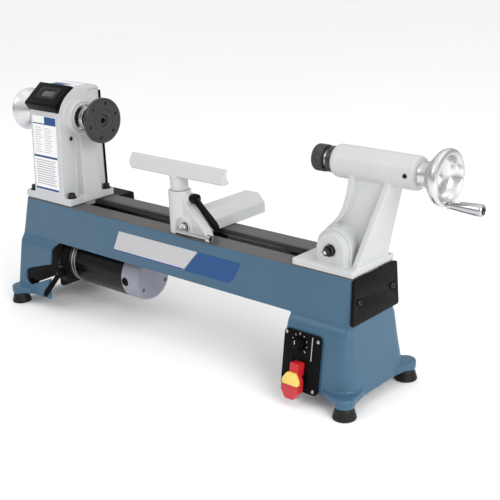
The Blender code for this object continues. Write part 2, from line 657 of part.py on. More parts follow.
def build_motor(root):
    hinge = pivot("motor_hinge", (-300.0, MOTOR_PIVOT_Y, MOTOR_PIVOT_Z), root)
    cylinder("motor_pivot_rod", 4.0, 98.0, (-368.0, MOTOR_PIVOT_Y, MOTOR_PIVOT_Z), "x", root, STEEL, 18)
    outline = rounded([(-56.0, 44.0), (42.0, 44.0), (51.0, 70.0), (51.0, 126.0), (-36.0, 126.0),
                       (-56.0, 100.0)], 4.0, 2)
    bracket = prism("motor_bracket", outline, "yz", -296.0, -290.0, hinge, BLACK)
    sleeve = cylinder("bracket_sleeve", 7.5, 40.0, (-330.0, MOTOR_PIVOT_Y, MOTOR_PIVOT_Z), "x",
                      hinge, sides=24)
    lug = block("bracket_lug", (-292.0, TENSION_LUG_Y, 60.0), (-268.0, TENSION_LUG_Y + 6.0, 88.0),
                hinge)
    join(bracket, sleeve, lug)
    cut(bracket,
        cylinder("sleeve_bore", 4.3, 60.0, (-335.0, MOTOR_PIVOT_Y, MOTOR_PIVOT_Z), "x", hinge, sides=18),
        cylinder("shaft_window", 17.0, 20.0, (-300.0, MOTOR_Y, MOTOR_Z), "x", hinge, sides=28),
        cylinder("lug_bore", 4.3, 20.0, (TENSION_X, TENSION_LUG_Y + 10.0, TENSION_Z), "-y", hinge,
                 sides=16))

    at = (-289.7, MOTOR_Y, MOTOR_Z)
    bell = [(8.0, 18.9), (MOTOR_R, 18.9), (MOTOR_R, 0), (8.0, 0)]
    turned("motor_front_bell", bell, at, "x", hinge, ALUMINIUM, 28, ring=True)
    can = [(MOTOR_R - 3.5, 148.2), (MOTOR_R, 148.2), (MOTOR_R, 19.2), (MOTOR_R - 3.5, 19.2)]
    turned("motor_can", can, at, "x", hinge, BLACK, 28, ring=True)
    cap = [(0, 186.2), (36.0, 186.2), (41.0, 183.5), (43.0, 177.0), (MOTOR_R, 172),
           (MOTOR_R, 148.5), (36.0, 148.5), (36.0, 172), (6.3, 172), (6.3, 180), (0, 180)]
    end_cap = turned("motor_end_cap", cap, at, "x", hinge, MOTOR_GREY, 28)
    brush_x = -131.5
    cut(end_cap,
        cylinder("brush_hole", 8.3, 30.0, (brush_x, MOTOR_Y - 62.0, 83.0), "y", hinge, sides=20),
        cylinder("brush_hole_high", 6.5, 14.0, (-127.0, MOTOR_Y - 18.0, 118.0), "z", hinge, sides=20))
    brush_y = MOTOR_Y - 34.5
    brush = turned("brush_cap", [(0, 10.5), (6.6, 10.5), (8.0, 9.5), (8.0, 0), (0, 0)],
                   (brush_x, brush_y, 83.0), "-y", hinge, BLACK, 22)
    cut(brush, block("brush_slot", (brush_x - 5.5, brush_y - 12.0, 82.0),
                     (brush_x + 5.5, brush_y - 8.5, 84.0), hinge))

    rotor = pivot("rotor_axis", (BELT_X, MOTOR_Y, MOTOR_Z), hinge)
    start = -337.0
    turned("motor_rotor", [(0, 226.2), (6.0, 226.2), (6.0, 180.0), (20.0, 180.0), (20.0, 165.0),
                           (34.0, 165.0), (34.0, 90.0), (7.5, 90.0),
                           (7.5, 26.0), (6.0, 26.0), (6.0, 0), (0, 0)],
           (start, MOTOR_Y, MOTOR_Z), "x", rotor, STEEL, 18)
    groove = MOTOR_PULLEY_R
    pulley = [(6.3, 11), (groove + 2.5, 11), (groove + 2.5, 9.2), (groove, 8.7), (groove, -8.7),
              (groove + 2.5, -9.2), (groove + 2.5, -11), (6.3, -11)]
    turned("motor_pulley", pulley, (BELT_X, MOTOR_Y, MOTOR_Z), "x", rotor, ALUMINIUM, 18, ring=True)
    return hinge


def ratchet_lever(name, hub, axis, sign, arm, stud, parent, finish=BLACK):
    """A clamp lever: a hub with a threaded stud behind it and an arm that swells to its end."""
    reach = 13.0
    profile = [(0, reach), (4.0, reach), (4.0, reach - 2), (8.5, reach - 3), (8.5, 0), (4.0, 0),
               (4.0, -stud), (0, -stud)]
    facing = axis if sign > 0 else "-" + axis
    lever = turned(name, profile, hub, facing, parent, finish, 14)
    handle = rod(name + "_arm", arm, 4.0, parent, None, 2, (1.25, 1.0, 1.15, 1.0))
    return join(lever, handle)


def build_tension_lever(motor):
    hub = (TENSION_X, TENSION_LUG_Y - 0.5, TENSION_Z)
    hinge = pivot("tension_lever_axis", hub, motor)
    arm = [(TENSION_X, -66.5, TENSION_Z), (-286.0, -76.5, 62.0), (-295.5, -87.0, 43.5),
           (-300.5, -89.5, 34.5)]
    ratchet_lever("tension_lever", hub, "y", -1, arm, 12.0, hinge)


# Banjo and tool rest

def build_banjo(root):
    carriage = pivot("banjo_carriage", (CLAMP_X, 0, BED_TOP), root)
    swivel = pivot("banjo_swivel", (CLAMP_X, 0, BED_TOP), carriage)
    banjo = pivot("banjo_reach", (CLAMP_X, 0, BED_TOP), swivel)

    plate = block("banjo_clamp_plate", (CLAMP_X - 26, -30, 184.0), (CLAMP_X + 26, 30, 192.7),
                  carriage, DARK_STEEL, 1.0)
    guide = block("banjo_plate_guide", (CLAMP_X - 16, -SLOT_HALF_WIDTH + 0.6, 190.0),
                  (CLAMP_X + 16, SLOT_HALF_WIDTH - 0.6, 198.0), carriage)
    join(plate, guide)
    cut(plate, cylinder("banjo_plate_bore", 5.4, 40.0, (CLAMP_X, 0, 175.0), "z", carriage, sides=20))
    bolt = turned("banjo_clamp_bolt", [(0, 36), (5.0, 36), (5.0, 9.4), (9.0, 9.4), (9.0, 0), (0, 0)],
                  (CLAMP_X, 0, 174.3), "z", swivel, STEEL, 12)
    eye = turned("banjo_bolt_eye", [(0, 6), (EYE_R, 6), (EYE_R, -6), (0, -6)],
                 (CLAMP_X, 0, CLAMP_Z), "y", swivel, None, 16)
    join(bolt, eye)
    cut(bolt, cylinder("banjo_eye_bore", SHAFT_R + 0.4, 40.0, (CLAMP_X, -20, CLAMP_Z), "y", swivel,
                       sides=16))

    floor = BED_TOP + GAP
    rough = floor - 4.0
    front = [(3.0, rough), (82.0, rough), (82.0, floor + 4), (78.0, floor + 12), (36.0, 262.0),
             (34.0, 270.0), (12.0, 270.0), (3.0, 240.0)]
    casting = cylinder("banjo", POST_R, POST_TOP - rough - 1.0, (POST_X, POST_Y, rough + 1.0), "z",
                       banjo, PALE, 36)
    web = prism("banjo_web", front, "xz", -44.0, -26.0, banjo)
    section = rounded([(5.0, rough - 2), (62.0, rough - 2), (62.0, 224.0), (48.0, 239.0),
                       (19.0, 239.0), (5.0, 224.0)], 3.0, 2)
    tail = prism("banjo_tail", section, "xz", -40.0, 126.0, banjo)
    eye_side, eye_top = EYE_R + 0.7, CLAMP_Z + EYE_R + 1.0
    cavity = [(11.8, 190.0), (56.0, 190.0), (56.0, 223.0), (CLAMP_X + eye_side, 223.0),
              (CLAMP_X + eye_side, eye_top), (CLAMP_X - eye_side, eye_top),
              (CLAMP_X - eye_side, 223.0), (11.8, 223.0)]
    hollow = prism("banjo_hollow", cavity, "xz", -13.0, 119.0, banjo)
    seat_r = CLAMP_HUB_R + 0.5
    flat = prism("banjo_flat", [(CLAMP_X - seat_r, 195.0), (CLAMP_X + seat_r, 195.0)]
                 + arc((CLAMP_X, CLAMP_Z), seat_r, 0, 180, 14), "xz", -70.0, CLAMP_HUB_Y, banjo)
    hub = prism("banjo_clamp_hub", [(CLAMP_X - CLAMP_HUB_R, rough), (CLAMP_X + CLAMP_HUB_R, rough)]
                + arc((CLAMP_X, CLAMP_Z), CLAMP_HUB_R, 0, 180, 14), "xz", CLAMP_HUB_Y - 2.0, -20.0,
                banjo)
    stem_bore = cylinder("stem_bore", STEM_R + GAP, 60.0, (POST_X, POST_Y, 228.0), "z", banjo,
                         sides=32)
    shaft_bore = cylinder("clamp_shaft_bore", SHAFT_R + 1.0, 173.0, (CLAMP_X, -60.0, CLAMP_Z), "y",
                          banjo, sides=24)
    stud_bore = cylinder("rest_stud_bore", 4.3, 30.0, (POST_X + 8.0, POST_Y, 266.0), "x", banjo,
                         sides=16)
    boss = turned("rest_stud_boss", [(0, 8), (9, 8), (10, 0), (10, -9), (0, -9)],
                  (POST_X + POST_R - 1.5, POST_Y, 266.0), "x", banjo, None, 24)
    sole = block("banjo_sole", (-60.0, -90.0, 150.0), (130.0, 170.0, floor), banjo)
    join(casting, web, tail, hub, boss)
    cut(casting, sole, hollow, flat, stem_bore, shaft_bore, stud_bore)

    clamp = pivot("banjo_clamp_axis", (CLAMP_X, -52.0, CLAMP_Z), banjo)
    turned("banjo_clamp_shaft", [(0, 160), (SHAFT_R, 160), (SHAFT_R, 1), (SHAFT_R - 1, 0), (0, 0)],
           (CLAMP_X, -52.0, CLAMP_Z), "y", clamp, STEEL, 20)
    bar_y, bar_z = -55.6, CLAMP_Z - 5.5
    bar = cylinder("banjo_clamp_handle", 3.2, 74.0, (CLAMP_X - 9.5, bar_y, bar_z), "x", clamp, STEEL, 16)
    collar = turned("handle_collar", [(0, 8), (4.4, 8), (5.2, 7), (5.2, 0), (0, -1)],
                    (CLAMP_X + 60.5, bar_y, bar_z), "x", clamp, None, 20)
    join(bar, collar)

    stem = pivot("rest_stem", (POST_X, POST_Y, POST_TOP), banjo)
    turned("tool_rest_stem", [(0, 68.0), (8.0, 68.0), (8.0, 47.8), (STEM_R, 47.8), (STEM_R, 1),
                              (STEM_R - 1, 0), (0, 0)], (POST_X, POST_Y, 229.0), "z", stem, STEEL, 20)
    head = pivot("rest_head", (POST_X, POST_Y, POST_TOP), stem)
    neck = cylinder("rest_neck", 15.0, 28.0, (POST_X, POST_Y, POST_TOP + GAP), "z", head, sides=32)
    bar_outline = [(-47.5, 303.0), (-45.0, 301.0), (-27.0, 301.0), (-25.0, 303.5), (-28.5, 309.0),
                   (-30.0, 316.0), (-30.5, 323.0), (-31.5, 325.0), (-34.0, 325.0), (-36.5, 322.0)]
    rest = prism("tool_rest", bar_outline, "yz", -91.5, 124.5, head, PALE)
    corner = prism("rest_corner", [(-110.0, 285.0), (-66.0, 285.0), (-110.0, 330.0)], "xz", -70.0,
                   0.0, head)
    cut(rest, corner)
    join(rest, neck)
    cut(rest, cylinder("rest_spigot_bore", 8.3, 30.0, (POST_X, POST_Y, POST_TOP - 8.0), "z", head,
                       sides=28))

    lock_hub = (46.5, POST_Y, 266.0)
    lock = pivot("rest_lock_axis", lock_hub, banjo)
    arm = [(53.0, -33.0, 264.0), (59.5, -28.5, 252.0), (75.5, -20.0, 226.0), (81.0, -17.0, 215.5)]
    ratchet_lever("rest_lock_lever", lock_hub, "x", 1, arm, 17.0, lock)


# Tailstock

def left_rib(offset):
    """The curved front edge of the tailstock column, in (x, z), moved right by offset."""
    points = [(290.5, 213.0), (290.5, 226.0), (292.5, 238.0), (297.5, 250.0), (306.0, 261.0),
              (316.5, 271.0), (327.0, 283.0), (335.0, 297.0), (341.0, 315.0), (345.5, 335.0), (348.0, 350.0)]
    return [(x + offset, z) for x, z in points]


def tail_hub(radius, steps):
    """The round-topped boss, seen from the front, that carries the tailstock's clamp shaft."""
    return ([(TAIL_CLAMP_X - radius, 213.0), (TAIL_CLAMP_X + radius, 213.0)]
            + arc((TAIL_CLAMP_X, TAIL_CLAMP_Z), radius, 0, 180, steps))


def build_tailstock(root):
    tail = pivot("tailstock_carriage", (321.5, 0, BED_TOP), root)
    floor = BED_TOP + GAP
    casting = block("tailstock_casting", (266.5, -BED_HALF_WIDTH, floor),
                    (BED_HALF_LENGTH, BED_HALF_WIDTH, floor + 10.5), tail, PALE, 1.5)
    tenon = block("tailstock_tenon", (270.0, -SLOT_HALF_WIDTH + 0.5, 194.0),
                  (373.0, SLOT_HALF_WIDTH - 0.5, 212.0), tail)
    web_outline = left_rib(3.0) + [(408.0, 350.0), (366.0, 213.0)]
    web = prism("tailstock_web", web_outline, "xz", -15.0, 15.0, tail)
    rib_outline = left_rib(0.0) + left_rib(9.0)[::-1]
    rib = prism("tailstock_rib", rib_outline, "xz", -21.0, 21.0, tail)
    plate = loft("tailstock_plate", [rectangle(363.0, 374.5, -40.0, 40.0, 213.0, 3.0, 2),
                                     rectangle(406.4, 418.4, -18.0, 18.0, 350.0, 3.0, 2)], tail)
    hubs = [prism("tailstock_hub_" + str(i), tail_hub(radius, 16), "xz", -half, half, tail)
            for i, (radius, half) in enumerate(((25.0, 45.0), (31.0, 36.0)))]
    barrel = turned("tailstock_barrel", [(0, 143.0), (19.0, 143.0), (23.2, 140.5), (BARREL_R, 135.0),
                                         (BARREL_R, 9.0), (23.4, 4.5), (20.0, 1.0), (17.6, 0), (0, 0)],
                    (312.5, 0, AXIS_Z), "x", tail, None, 36)
    lock_boss = cylinder("quill_lock_boss", 9.0, 14.0, (335.0, 20.0, AXIS_Z), "y", tail, sides=24)
    join(casting, tenon, web, rib, plate, *hubs, barrel, lock_boss)
    cut(casting,
        cylinder("quill_bore", QUILL_R + GAP, 130.5, (300.0, 0, AXIS_Z), "x", tail, sides=28),
        cylinder("screw_bore", 8.3, 80.0, (400.0, 0, AXIS_Z), "x", tail, sides=22),
        cylinder("tail_shaft_bore", SHAFT_R + 1.0, 120.0, (TAIL_CLAMP_X, -60, TAIL_CLAMP_Z), "y",
                 tail, sides=20),
        block("tail_bolt_way", (TAIL_CLAMP_X - 14, -11.0, 180.0), (TAIL_CLAMP_X + 14, 11.0, 253.0),
              tail),
        cylinder("quill_lock_bore", 4.4, 30.0, (335.0, 10.0, AXIS_Z), "y", tail, sides=16),
        cylinder("set_screw_bore", 3.3, 14.0, (442.0, -30.0, AXIS_Z), "y", tail, sides=16),
        cylinder("base_pin_hole", 2.2, 8.0, (274.0, -44.0, floor + 5.0), "z", tail, sides=12))
    screw = turned("barrel_set_screw", [(0, 8), (2.4, 8), (3.0, 7.4), (3.0, 0), (0, 0)],
                   (442.0, -17.0, AXIS_Z), "-y", tail, DARK_STEEL, 16)
    cut(screw, cylinder("set_screw_hex", 1.6, 6.0, (442.0, -22.5, AXIS_Z), "-y", tail, sides=6))

    plate = block("tailstock_clamp_plate", (TAIL_CLAMP_X - 28, -30, 184.0),
                  (TAIL_CLAMP_X + 28, 30, 192.7), tail, DARK_STEEL, 1.0)
    cut(plate, cylinder("tail_plate_bore", 5.4, 40.0, (TAIL_CLAMP_X, 0, 175.0), "z", tail, sides=20))
    bolt = turned("tailstock_clamp_bolt", [(0, 60), (5.0, 60), (5.0, 9.4), (9.0, 9.4), (9.0, 0),
                                           (0, 0)], (TAIL_CLAMP_X, 0, 174.3), "z", tail, STEEL, 12)
    eye = turned("tail_bolt_eye", [(0, 6), (EYE_R, 6), (EYE_R, -6), (0, -6)],
                 (TAIL_CLAMP_X, 0, TAIL_CLAMP_Z), "y", tail, None, 16)
    join(bolt, eye)
    cut(bolt, cylinder("tail_eye_bore", SHAFT_R + 0.4, 40.0, (TAIL_CLAMP_X, -20, TAIL_CLAMP_Z), "y",
                       tail, sides=16))

    clamp = pivot("tailstock_clamp_axis", (TAIL_CLAMP_X, 48.0, TAIL_CLAMP_Z), tail)
    turned("tailstock_clamp_shaft", [(0, 106), (SHAFT_R, 106), (SHAFT_R, 6), (8.5, 5.7), (8.5, 1),
                                     (7.5, 0), (0, 0)], (TAIL_CLAMP_X, -51.0, TAIL_CLAMP_Z), "y", clamp,
           DARK_STEEL, 16)
    lever = turned("tailstock_clamp_lever", [(7.0, 12), (11, 12), (11, 0), (7.0, 0)],
                   (TAIL_CLAMP_X, 45.5, TAIL_CLAMP_Z), "y", clamp, DARK_STEEL, 16, ring=True)
    arm = rod("clamp_lever_arm", [(334.5, 52.0, 247.0), (337.5, 56.0, 256.0), (342.5, 61.0, 273.0),
                                  (349.0, 63.0, 296.0)], 4.0, clamp, None, 2, (1.0, 1.0, 1.1, 1.4))
    join(lever, arm)

    lock = pivot("quill_lock_axis", (335.0, 35.0, AXIS_Z), tail)
    arm = [(335.0, 41.0, 358.0), (334.0, 45.0, 349.0), (332.0, 49.0, 330.0), (331.0, 50.0, 322.0)]
    ratchet_lever("quill_lock_lever", (335.0, 35.0, AXIS_Z), "y", 1, arm, 18.0, lock)
    return tail


def build_quill(tail):
    quill = pivot("quill_slide", (300.0, 0, AXIS_Z), tail)
    body = turned("quill", [(0, 125.0), (15.0, 125.0), (QUILL_R, 124.0), (QUILL_R, 8.5), (19.5, 8.5),
                            (19.5, 0.5), (13.0, 0.5), (13.0, -10.0), (0, -10.0)],
                  (303.0, 0, AXIS_Z), "x", quill, STEEL, 24)
    cut(body,
        cylinder("quill_thread", 5.6, 110.0, (330.0, 0, AXIS_Z), "x", quill, sides=14),
        cylinder("quill_taper", 8.0, 30.0, (288.0, 0, AXIS_Z), "x", quill, sides=16))
    spin = pivot("live_centre_axis", (290.0, 0, AXIS_Z), quill)
    cap = [(13.4, 21.5), (18.8, 21.5), (20.0, 20.0), (20.0, 1.5), (18.5, 0), (9.0, 0), (9.0, 10.0),
           (13.4, 10.0)]
    turned("live_centre", cap, (278.5, 0, AXIS_Z), "x", spin, BLACK, 28, ring=True)

    wheel = pivot("tailstock_wheel_axis", (455.5, 0, AXIS_Z), tail)
    turned("tailstock_lead_screw", [(0, 142.0), (5.0, 142.0), (5.0, 121.0), (7.9, 121.0), (7.9, 97.5),
                                    (5.0, 97.5), (5.0, 1), (4.0, 0), (0, 0)],
           (334.0, 0, AXIS_Z), "x", wheel, STEEL, 14)
    profile = [(0, 23.0), (14.0, 23.0), (25.0, 28.0), (29.0, 36.0), (31.5, 42.5), (37.0, 43.0),
               (WHEEL_R, 38.0), (38.5, 31.0), (27.0, 20.0), (17.5, 14.0), (16.5, 0), (5.3, 0),
               (5.3, 20.7), (0, 20.7)]
    rim = turned("tailstock_handwheel", profile, (455.8, 0, AXIS_Z), "x", wheel, ALUMINIUM, 32)
    crank_y, crank_z = -4.0, AXIS_Z - 35.0
    cut(rim, cylinder("crank_pin_bore", 2.8, 30.0, (487.0, crank_y, crank_z), "x", wheel, sides=16))
    cylinder("crank_pin", 2.5, 52.0, (488.0, crank_y, crank_z), "x", wheel, STEEL, 16)
    crank = pivot("crank_axis", (499.2, crank_y, crank_z), wheel)
    grip = [(0, 52.3), (6.0, 52.3), (8.6, 48.5), (8.2, 38.0), (5.6, 7.0), (6.2, 0), (2.9, 0),
            (2.9, 43.0), (0, 43.0)]
    turned("crank_handle", grip, (499.2, crank_y, crank_z), "x", crank, STEEL, 16)


def centre_on_footprint(root):
    """Move the whole lathe so that the middle of its footprint stands on the origin."""
    bpy.context.view_layer.update()
    graph = bpy.context.evaluated_depsgraph_get()
    corners = []
    for obj in PARTS.objects:
        if obj.type == "MESH":
            shape = obj.evaluated_get(graph)
            corners += [shape.matrix_world @ Vector(c) for c in shape.bound_box]
    for axis in (0, 1):
        values = [c[axis] for c in corners]
        root.location[axis] -= (min(values) + max(values)) / 2


def main():
    root = pivot("lathe_origin", (0, 0, 0))
    bed = build_bed(root)
    build_bed_fittings(root)
    build_switch(root, bed)
    build_headstock(root)
    build_belt_door(root)
    build_spindle(root)
    build_belt(root)
    build_tension_lever(build_motor(root))
    build_banjo(root)
    build_quill(build_tailstock(root))
    centre_on_footprint(root)


main()
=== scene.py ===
"""Looks of the bench wood lathe: fine meshes, finishes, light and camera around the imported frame.

Lengths are in millimetres in the lathe's own axes: X along the bed with the tailstock at its
positive end, Y across it with the operator on the negative side, Z up from the bench.
The spindle axis lies in the plane y = 0 and the bed's middle in the plane x = 0.
"""
import math

import bmesh
import bpy
from mathutils import Matrix, Vector


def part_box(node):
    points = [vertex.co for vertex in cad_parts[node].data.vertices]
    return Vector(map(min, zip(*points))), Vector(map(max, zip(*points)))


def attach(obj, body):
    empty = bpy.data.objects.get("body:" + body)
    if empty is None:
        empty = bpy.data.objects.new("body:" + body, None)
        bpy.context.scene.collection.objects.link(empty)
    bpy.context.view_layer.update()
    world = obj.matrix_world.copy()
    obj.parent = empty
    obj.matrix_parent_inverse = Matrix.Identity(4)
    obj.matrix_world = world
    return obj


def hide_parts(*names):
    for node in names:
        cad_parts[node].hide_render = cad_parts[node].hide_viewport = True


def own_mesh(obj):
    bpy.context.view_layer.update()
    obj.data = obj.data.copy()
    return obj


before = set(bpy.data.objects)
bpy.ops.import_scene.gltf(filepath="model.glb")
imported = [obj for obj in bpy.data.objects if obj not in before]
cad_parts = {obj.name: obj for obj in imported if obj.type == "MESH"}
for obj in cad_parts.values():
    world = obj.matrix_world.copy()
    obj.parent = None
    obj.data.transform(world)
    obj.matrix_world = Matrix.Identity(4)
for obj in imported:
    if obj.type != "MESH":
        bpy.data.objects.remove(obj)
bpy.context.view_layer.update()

MM = 0.001

# Sizes shared by several pieces
BED_HALF_LENGTH = 376.5
BED_TOP = 205
BED_HALF_WIDTH = 52.5
SLOT_HALF_WIDTH = 18
APRON_BOTTOM = 130
APRON_HALF_WIDTH, LEG_FLARE = 56.5, 22.5
LEFT_TOP, LEFT_LEAN, LEFT_SWELL = 378, 20, 7  # left end wall: its top, then how far it leans out
RIGHT_SWELL = 13
LEG_CORNER = 7
LEG_FOOT_Z = 21
WALL = 6
AXIS_Z = 360
LEFT_FOOT_X, RIGHT_FOOT_X, FOOT_Y = -390, 382, 81
FOOT_BOSS_TOP = 34
COLUMN_LEFT, COLUMN_RIGHT = -351.5, -268.5
FACEPLATE_X = -198.8
BELT_X = -324
MOTOR_Y, MOTOR_Z, MOTOR_R = 5, 85, 44
MOTOR_X = -289.7
FACE_CENTRE, FACE_SLOPE = Vector((-309, -31, 402.75)), math.atan2(29.5, 38)  # the display's face
POST_X, POST_Y, POST_R, POST_TOP = 16.5, -33, 19, 277
CLAMP_X, CLAMP_Z = 35.5, 219
CLAMP_HUB_R, CLAMP_HUB_Y = 15.5, -45.5
SHAFT_R = 6.5
TAIL_CLAMP_X, TAIL_CLAMP_Z = 331.5, 238
BARREL_R = 24.5
PANEL_CENTRE = Vector((299, -74.35, 64))
PANEL_TILT = math.radians(8.954)
GAP = 0.3
SPINDLE_CENTRE = (0, 0, AXIS_Z)

SPINDLE_SIDES = [corner[1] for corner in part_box("spindle")]
ORIGIN = Vector((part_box("right_end_cover")[0][0] - (BED_HALF_LENGTH + GAP) * MM, sum(SPINDLE_SIDES) / 2, 0))

COARSE = 1

AXES = {
    "x": (Vector((0, 1, 0)), Vector((0, 0, 1)), Vector((1, 0, 0))),
    "-x": (Vector((0, 0, 1)), Vector((0, 1, 0)), Vector((-1, 0, 0))),
    "y": (Vector((0, 0, 1)), Vector((1, 0, 0)), Vector((0, 1, 0))),
    "-y": (Vector((1, 0, 0)), Vector((0, 0, 1)), Vector((0, -1, 0))),
    "z": (Vector((1, 0, 0)), Vector((0, 1, 0)), Vector((0, 0, 1))),
}
PLANES = {
    "xy": lambda a, b, c: (a, b, c),
    "xz": lambda a, b, c: (a, c, b),
    "yz": lambda a, b, c: (c, a, b),
}


# Mesh tools

def from_bmesh(name, mesh):
    """An object from a bmesh measured in the lathe's millimetres."""
    bmesh.ops.recalc_face_normals(mesh, faces=mesh.faces)
    bmesh.ops.scale(mesh, vec=(MM, MM, MM), verts=mesh.verts)
    bmesh.ops.translate(mesh, vec=ORIGIN, verts=mesh.verts)
    data = bpy.data.meshes.new(name)
    mesh.to_mesh(data)
    mesh.free()
    obj = bpy.data.objects.new(name, data)
    bpy.context.scene.collection.objects.link(obj)
    return obj


def settle(obj):
    """Turn an object's modifiers into plain mesh."""
    graph = bpy.context.evaluated_depsgraph_get()
    data = bpy.data.meshes.new_from_object(obj.evaluated_get(graph))
    old = obj.data
    obj.modifiers.clear()
    obj.data = data
    bpy.data.meshes.remove(old)
    return obj


def combine(target, operation, others):
    for other in others:
        step = target.modifiers.new(operation, "BOOLEAN")
        step.operation = operation
        step.solver = "EXACT"
        step.object = other
    settle(target)
    for other in others:
        bpy.data.objects.remove(other, do_unlink=True)
    return target


def cut(target, *cutters):
    return combine(target, "DIFFERENCE", cutters)


def join(target, *others):
    return combine(target, "UNION", others)


def round_edges(obj, width, segments, angle):
    rounding = obj.modifiers.new("rounded_edges", "BEVEL")
    rounding.width = width * MM
    rounding.segments = segments
    rounding.limit_method = "ANGLE"
    rounding.angle_limit = math.radians(angle)


def bevel(obj, width, segments=3, angle=35):
    round_edges(obj, width, segments, angle)
    return settle(obj)


def cast(obj, voxel, passes, share):
    """Give a piece a foundry casting's soft edges: even voxels, smoothed, then fewer faces."""
    remesh = obj.modifiers.new("voxels", "REMESH")
    remesh.mode = "VOXEL"
    remesh.voxel_size = voxel * COARSE * MM
    soften = obj.modifiers.new("soften", "SMOOTH")
    soften.factor = 0.5
    soften.iterations = passes
    fewer = obj.modifiers.new("fewer_faces", "DECIMATE")
    fewer.ratio = share
    return settle(obj)


def block(name, low, high):
    mesh = bmesh.new()
    bmesh.ops.create_cube(mesh, size=1)
    low, high = Vector(low), Vector(high)
    bmesh.ops.scale(mesh, vec=high - low, verts=mesh.verts)
    bmesh.ops.translate(mesh, vec=(low + high) / 2, verts=mesh.verts)
    return from_bmesh(name, mesh)


def skin(mesh, rows, closed=False):
    """Faces between rings of points; a ring of one point is a pole."""
    pairs = list(zip(rows, rows[1:]))
    if closed:
        pairs.append((rows[-1], rows[0]))
    for one, two in pairs:
        count = max(len(one), len(two))
        for i in range(count):
            j = (i + 1) % count
            corners = [one[i % len(one)], one[j % len(one)], two[j % len(two)], two[i % len(two)]]
            corners = list(dict.fromkeys(corners))
            if len(corners) > 2:
                mesh.faces.new(corners)


def turned(name, profile, start, axis, steps=96, ring=False):
    """A turned shape from (radius, height) points, its height measured along the axis."""
    u, v, w = AXES[axis]
    mesh = bmesh.new()
    rows = []
    for radius, height in profile:
        centre = Vector(start) + w * height
        count = steps if radius else 1
        turns = [math.tau * i / steps for i in range(count)]
        rows.append([mesh.verts.new(centre + (u * math.cos(a) + v * math.sin(a)) * radius)
            for a in turns])
    skin(mesh, rows, ring)
    return from_bmesh(name, mesh)


def cylinder(name, radius, length, start, axis, steps=48):
    return turned(name, [(0, 0), (radius, 0), (radius, length), (0, length)], start, axis, steps)


def rounded(outline, radius, steps=8):
    """The same closed outline with each corner replaced by an arc."""
    result = []
    for i, corner in enumerate(outline):
        here = Vector(corner)
        before = (Vector(outline[i - 1]) - here).normalized()
        after = (Vector(outline[(i + 1) % len(outline)]) - here).normalized()
        half = before.angle(after) / 2
        if half > math.radians(86):
            result.append(corner)
            continue
        reach = radius / math.tan(half)
        centre = here + (before + after).normalized() * radius / math.sin(half)
        first = here + before * reach - centre
        last = here + after * reach - centre
        sweep = first.angle_signed(last)
        for k in range(steps + 1):
            spoke = first.copy()
            spoke.rotate(Matrix.Rotation(-sweep * k / steps, 2))
            result.append(tuple(centre + spoke))
    return result


def oblong(x0, x1, y0, y1, corner=0, steps=8):
    outline = [(x0, y0), (x1, y0), (x1, y1), (x0, y1)]
    return rounded(outline, corner, steps) if corner else outline


def arc(centre, radius, start, end, steps):
    angles = [math.radians(start + (end - start) * k / steps) for k in range(steps + 1)]
    return [(centre[0] + radius * math.cos(a), centre[1] + radius * math.sin(a)) for a in angles]


def arched(centre, radius, foot, steps=32):
    """A hub's outline: round above its centre, with straight sides down to its foot."""
    x = centre[0]
    return [(x - radius, foot), (x + radius, foot)] + arc(centre, radius, 0, 180, steps)


def slab(name, outline, plane, low, high):
    """A flat outline in a plane, given its thickness between low and high across that plane."""
    mesh = bmesh.new()
    put = PLANES[plane]
    rows = [[mesh.verts.new(put(a, b, c)) for a, b in outline] for c in (low, high)]
    skin(mesh, rows)
    mesh.faces.new(rows[0][::-1])
    mesh.faces.new(rows[1])
    return from_bmesh(name, mesh)


def loft(name, sections):
    mesh = bmesh.new()
    rows = [[mesh.verts.new(point) for point in section] for section in sections]
    skin(mesh, rows)
    mesh.faces.new(rows[0][::-1])
    mesh.faces.new(rows[-1])
    return from_bmesh(name, mesh)


def rectangle(x0, x1, y0, y1, z, corner=0):
    return [(x, y, z) for x, y in oblong(x0, x1, y0, y1, corner)]


def flowing(points, detail=6):
    """A smooth path through points of any size, Catmull-Rom between each pair."""
    points = [Vector(p) for p in points]
    ends = [points[0] * 2 - points[1], *points, points[-1] * 2 - points[-2]]
    path = []
    for a, b, c, d in zip(ends, ends[1:], ends[2:], ends[3:]):
        for k in range(detail):
            t = k / detail
            path.append(0.5 * (2 * b + (c - a) * t + (2 * a - 5 * b + 4 * c - d) * t * t
                + (3 * b - a - 3 * c + d) * t * t * t))
    return path + [points[-1]]


def rod(name, points, radii, steps=24, detail=6):
    """A round bar that flows through points, with a radius at each and rounded ends."""
    path = flowing([(*p, r) for p, r in zip(points, radii)], detail)
    spine = [(p.xyz, p.w) for p in path]
    for end, step in ((0, 1), (-1, -1)):
        centre, size = spine[end]
        away = (centre - spine[end + step][0]).normalized()
        cap = [(centre + away * size * 0.6 * math.sin(math.radians(b)), size * math.cos(math.radians(b)))
            for b in (30, 60, 80)]
        spine = cap[::-1] + spine if end == 0 else spine + cap
    mesh = bmesh.new()
    rows = []
    side = None
    for i, (centre, size) in enumerate(spine):
        before = spine[max(i - 1, 0)][0]
        after = spine[min(i + 1, len(spine) - 1)][0]
        along = (after - before).normalized()
        if side is None:
            side = along.orthogonal()
        side = (side - along * side.dot(along)).normalized()
        other = along.cross(side)
        turns = [math.tau * k / steps for k in range(steps)]
        rows.append([mesh.verts.new(centre + (side * math.cos(a) + other * math.sin(a)) * size)
                     for a in turns])
    skin(mesh, rows)
    mesh.faces.new(rows[0][::-1])
    mesh.faces.new(rows[-1])
    return from_bmesh(name, mesh)


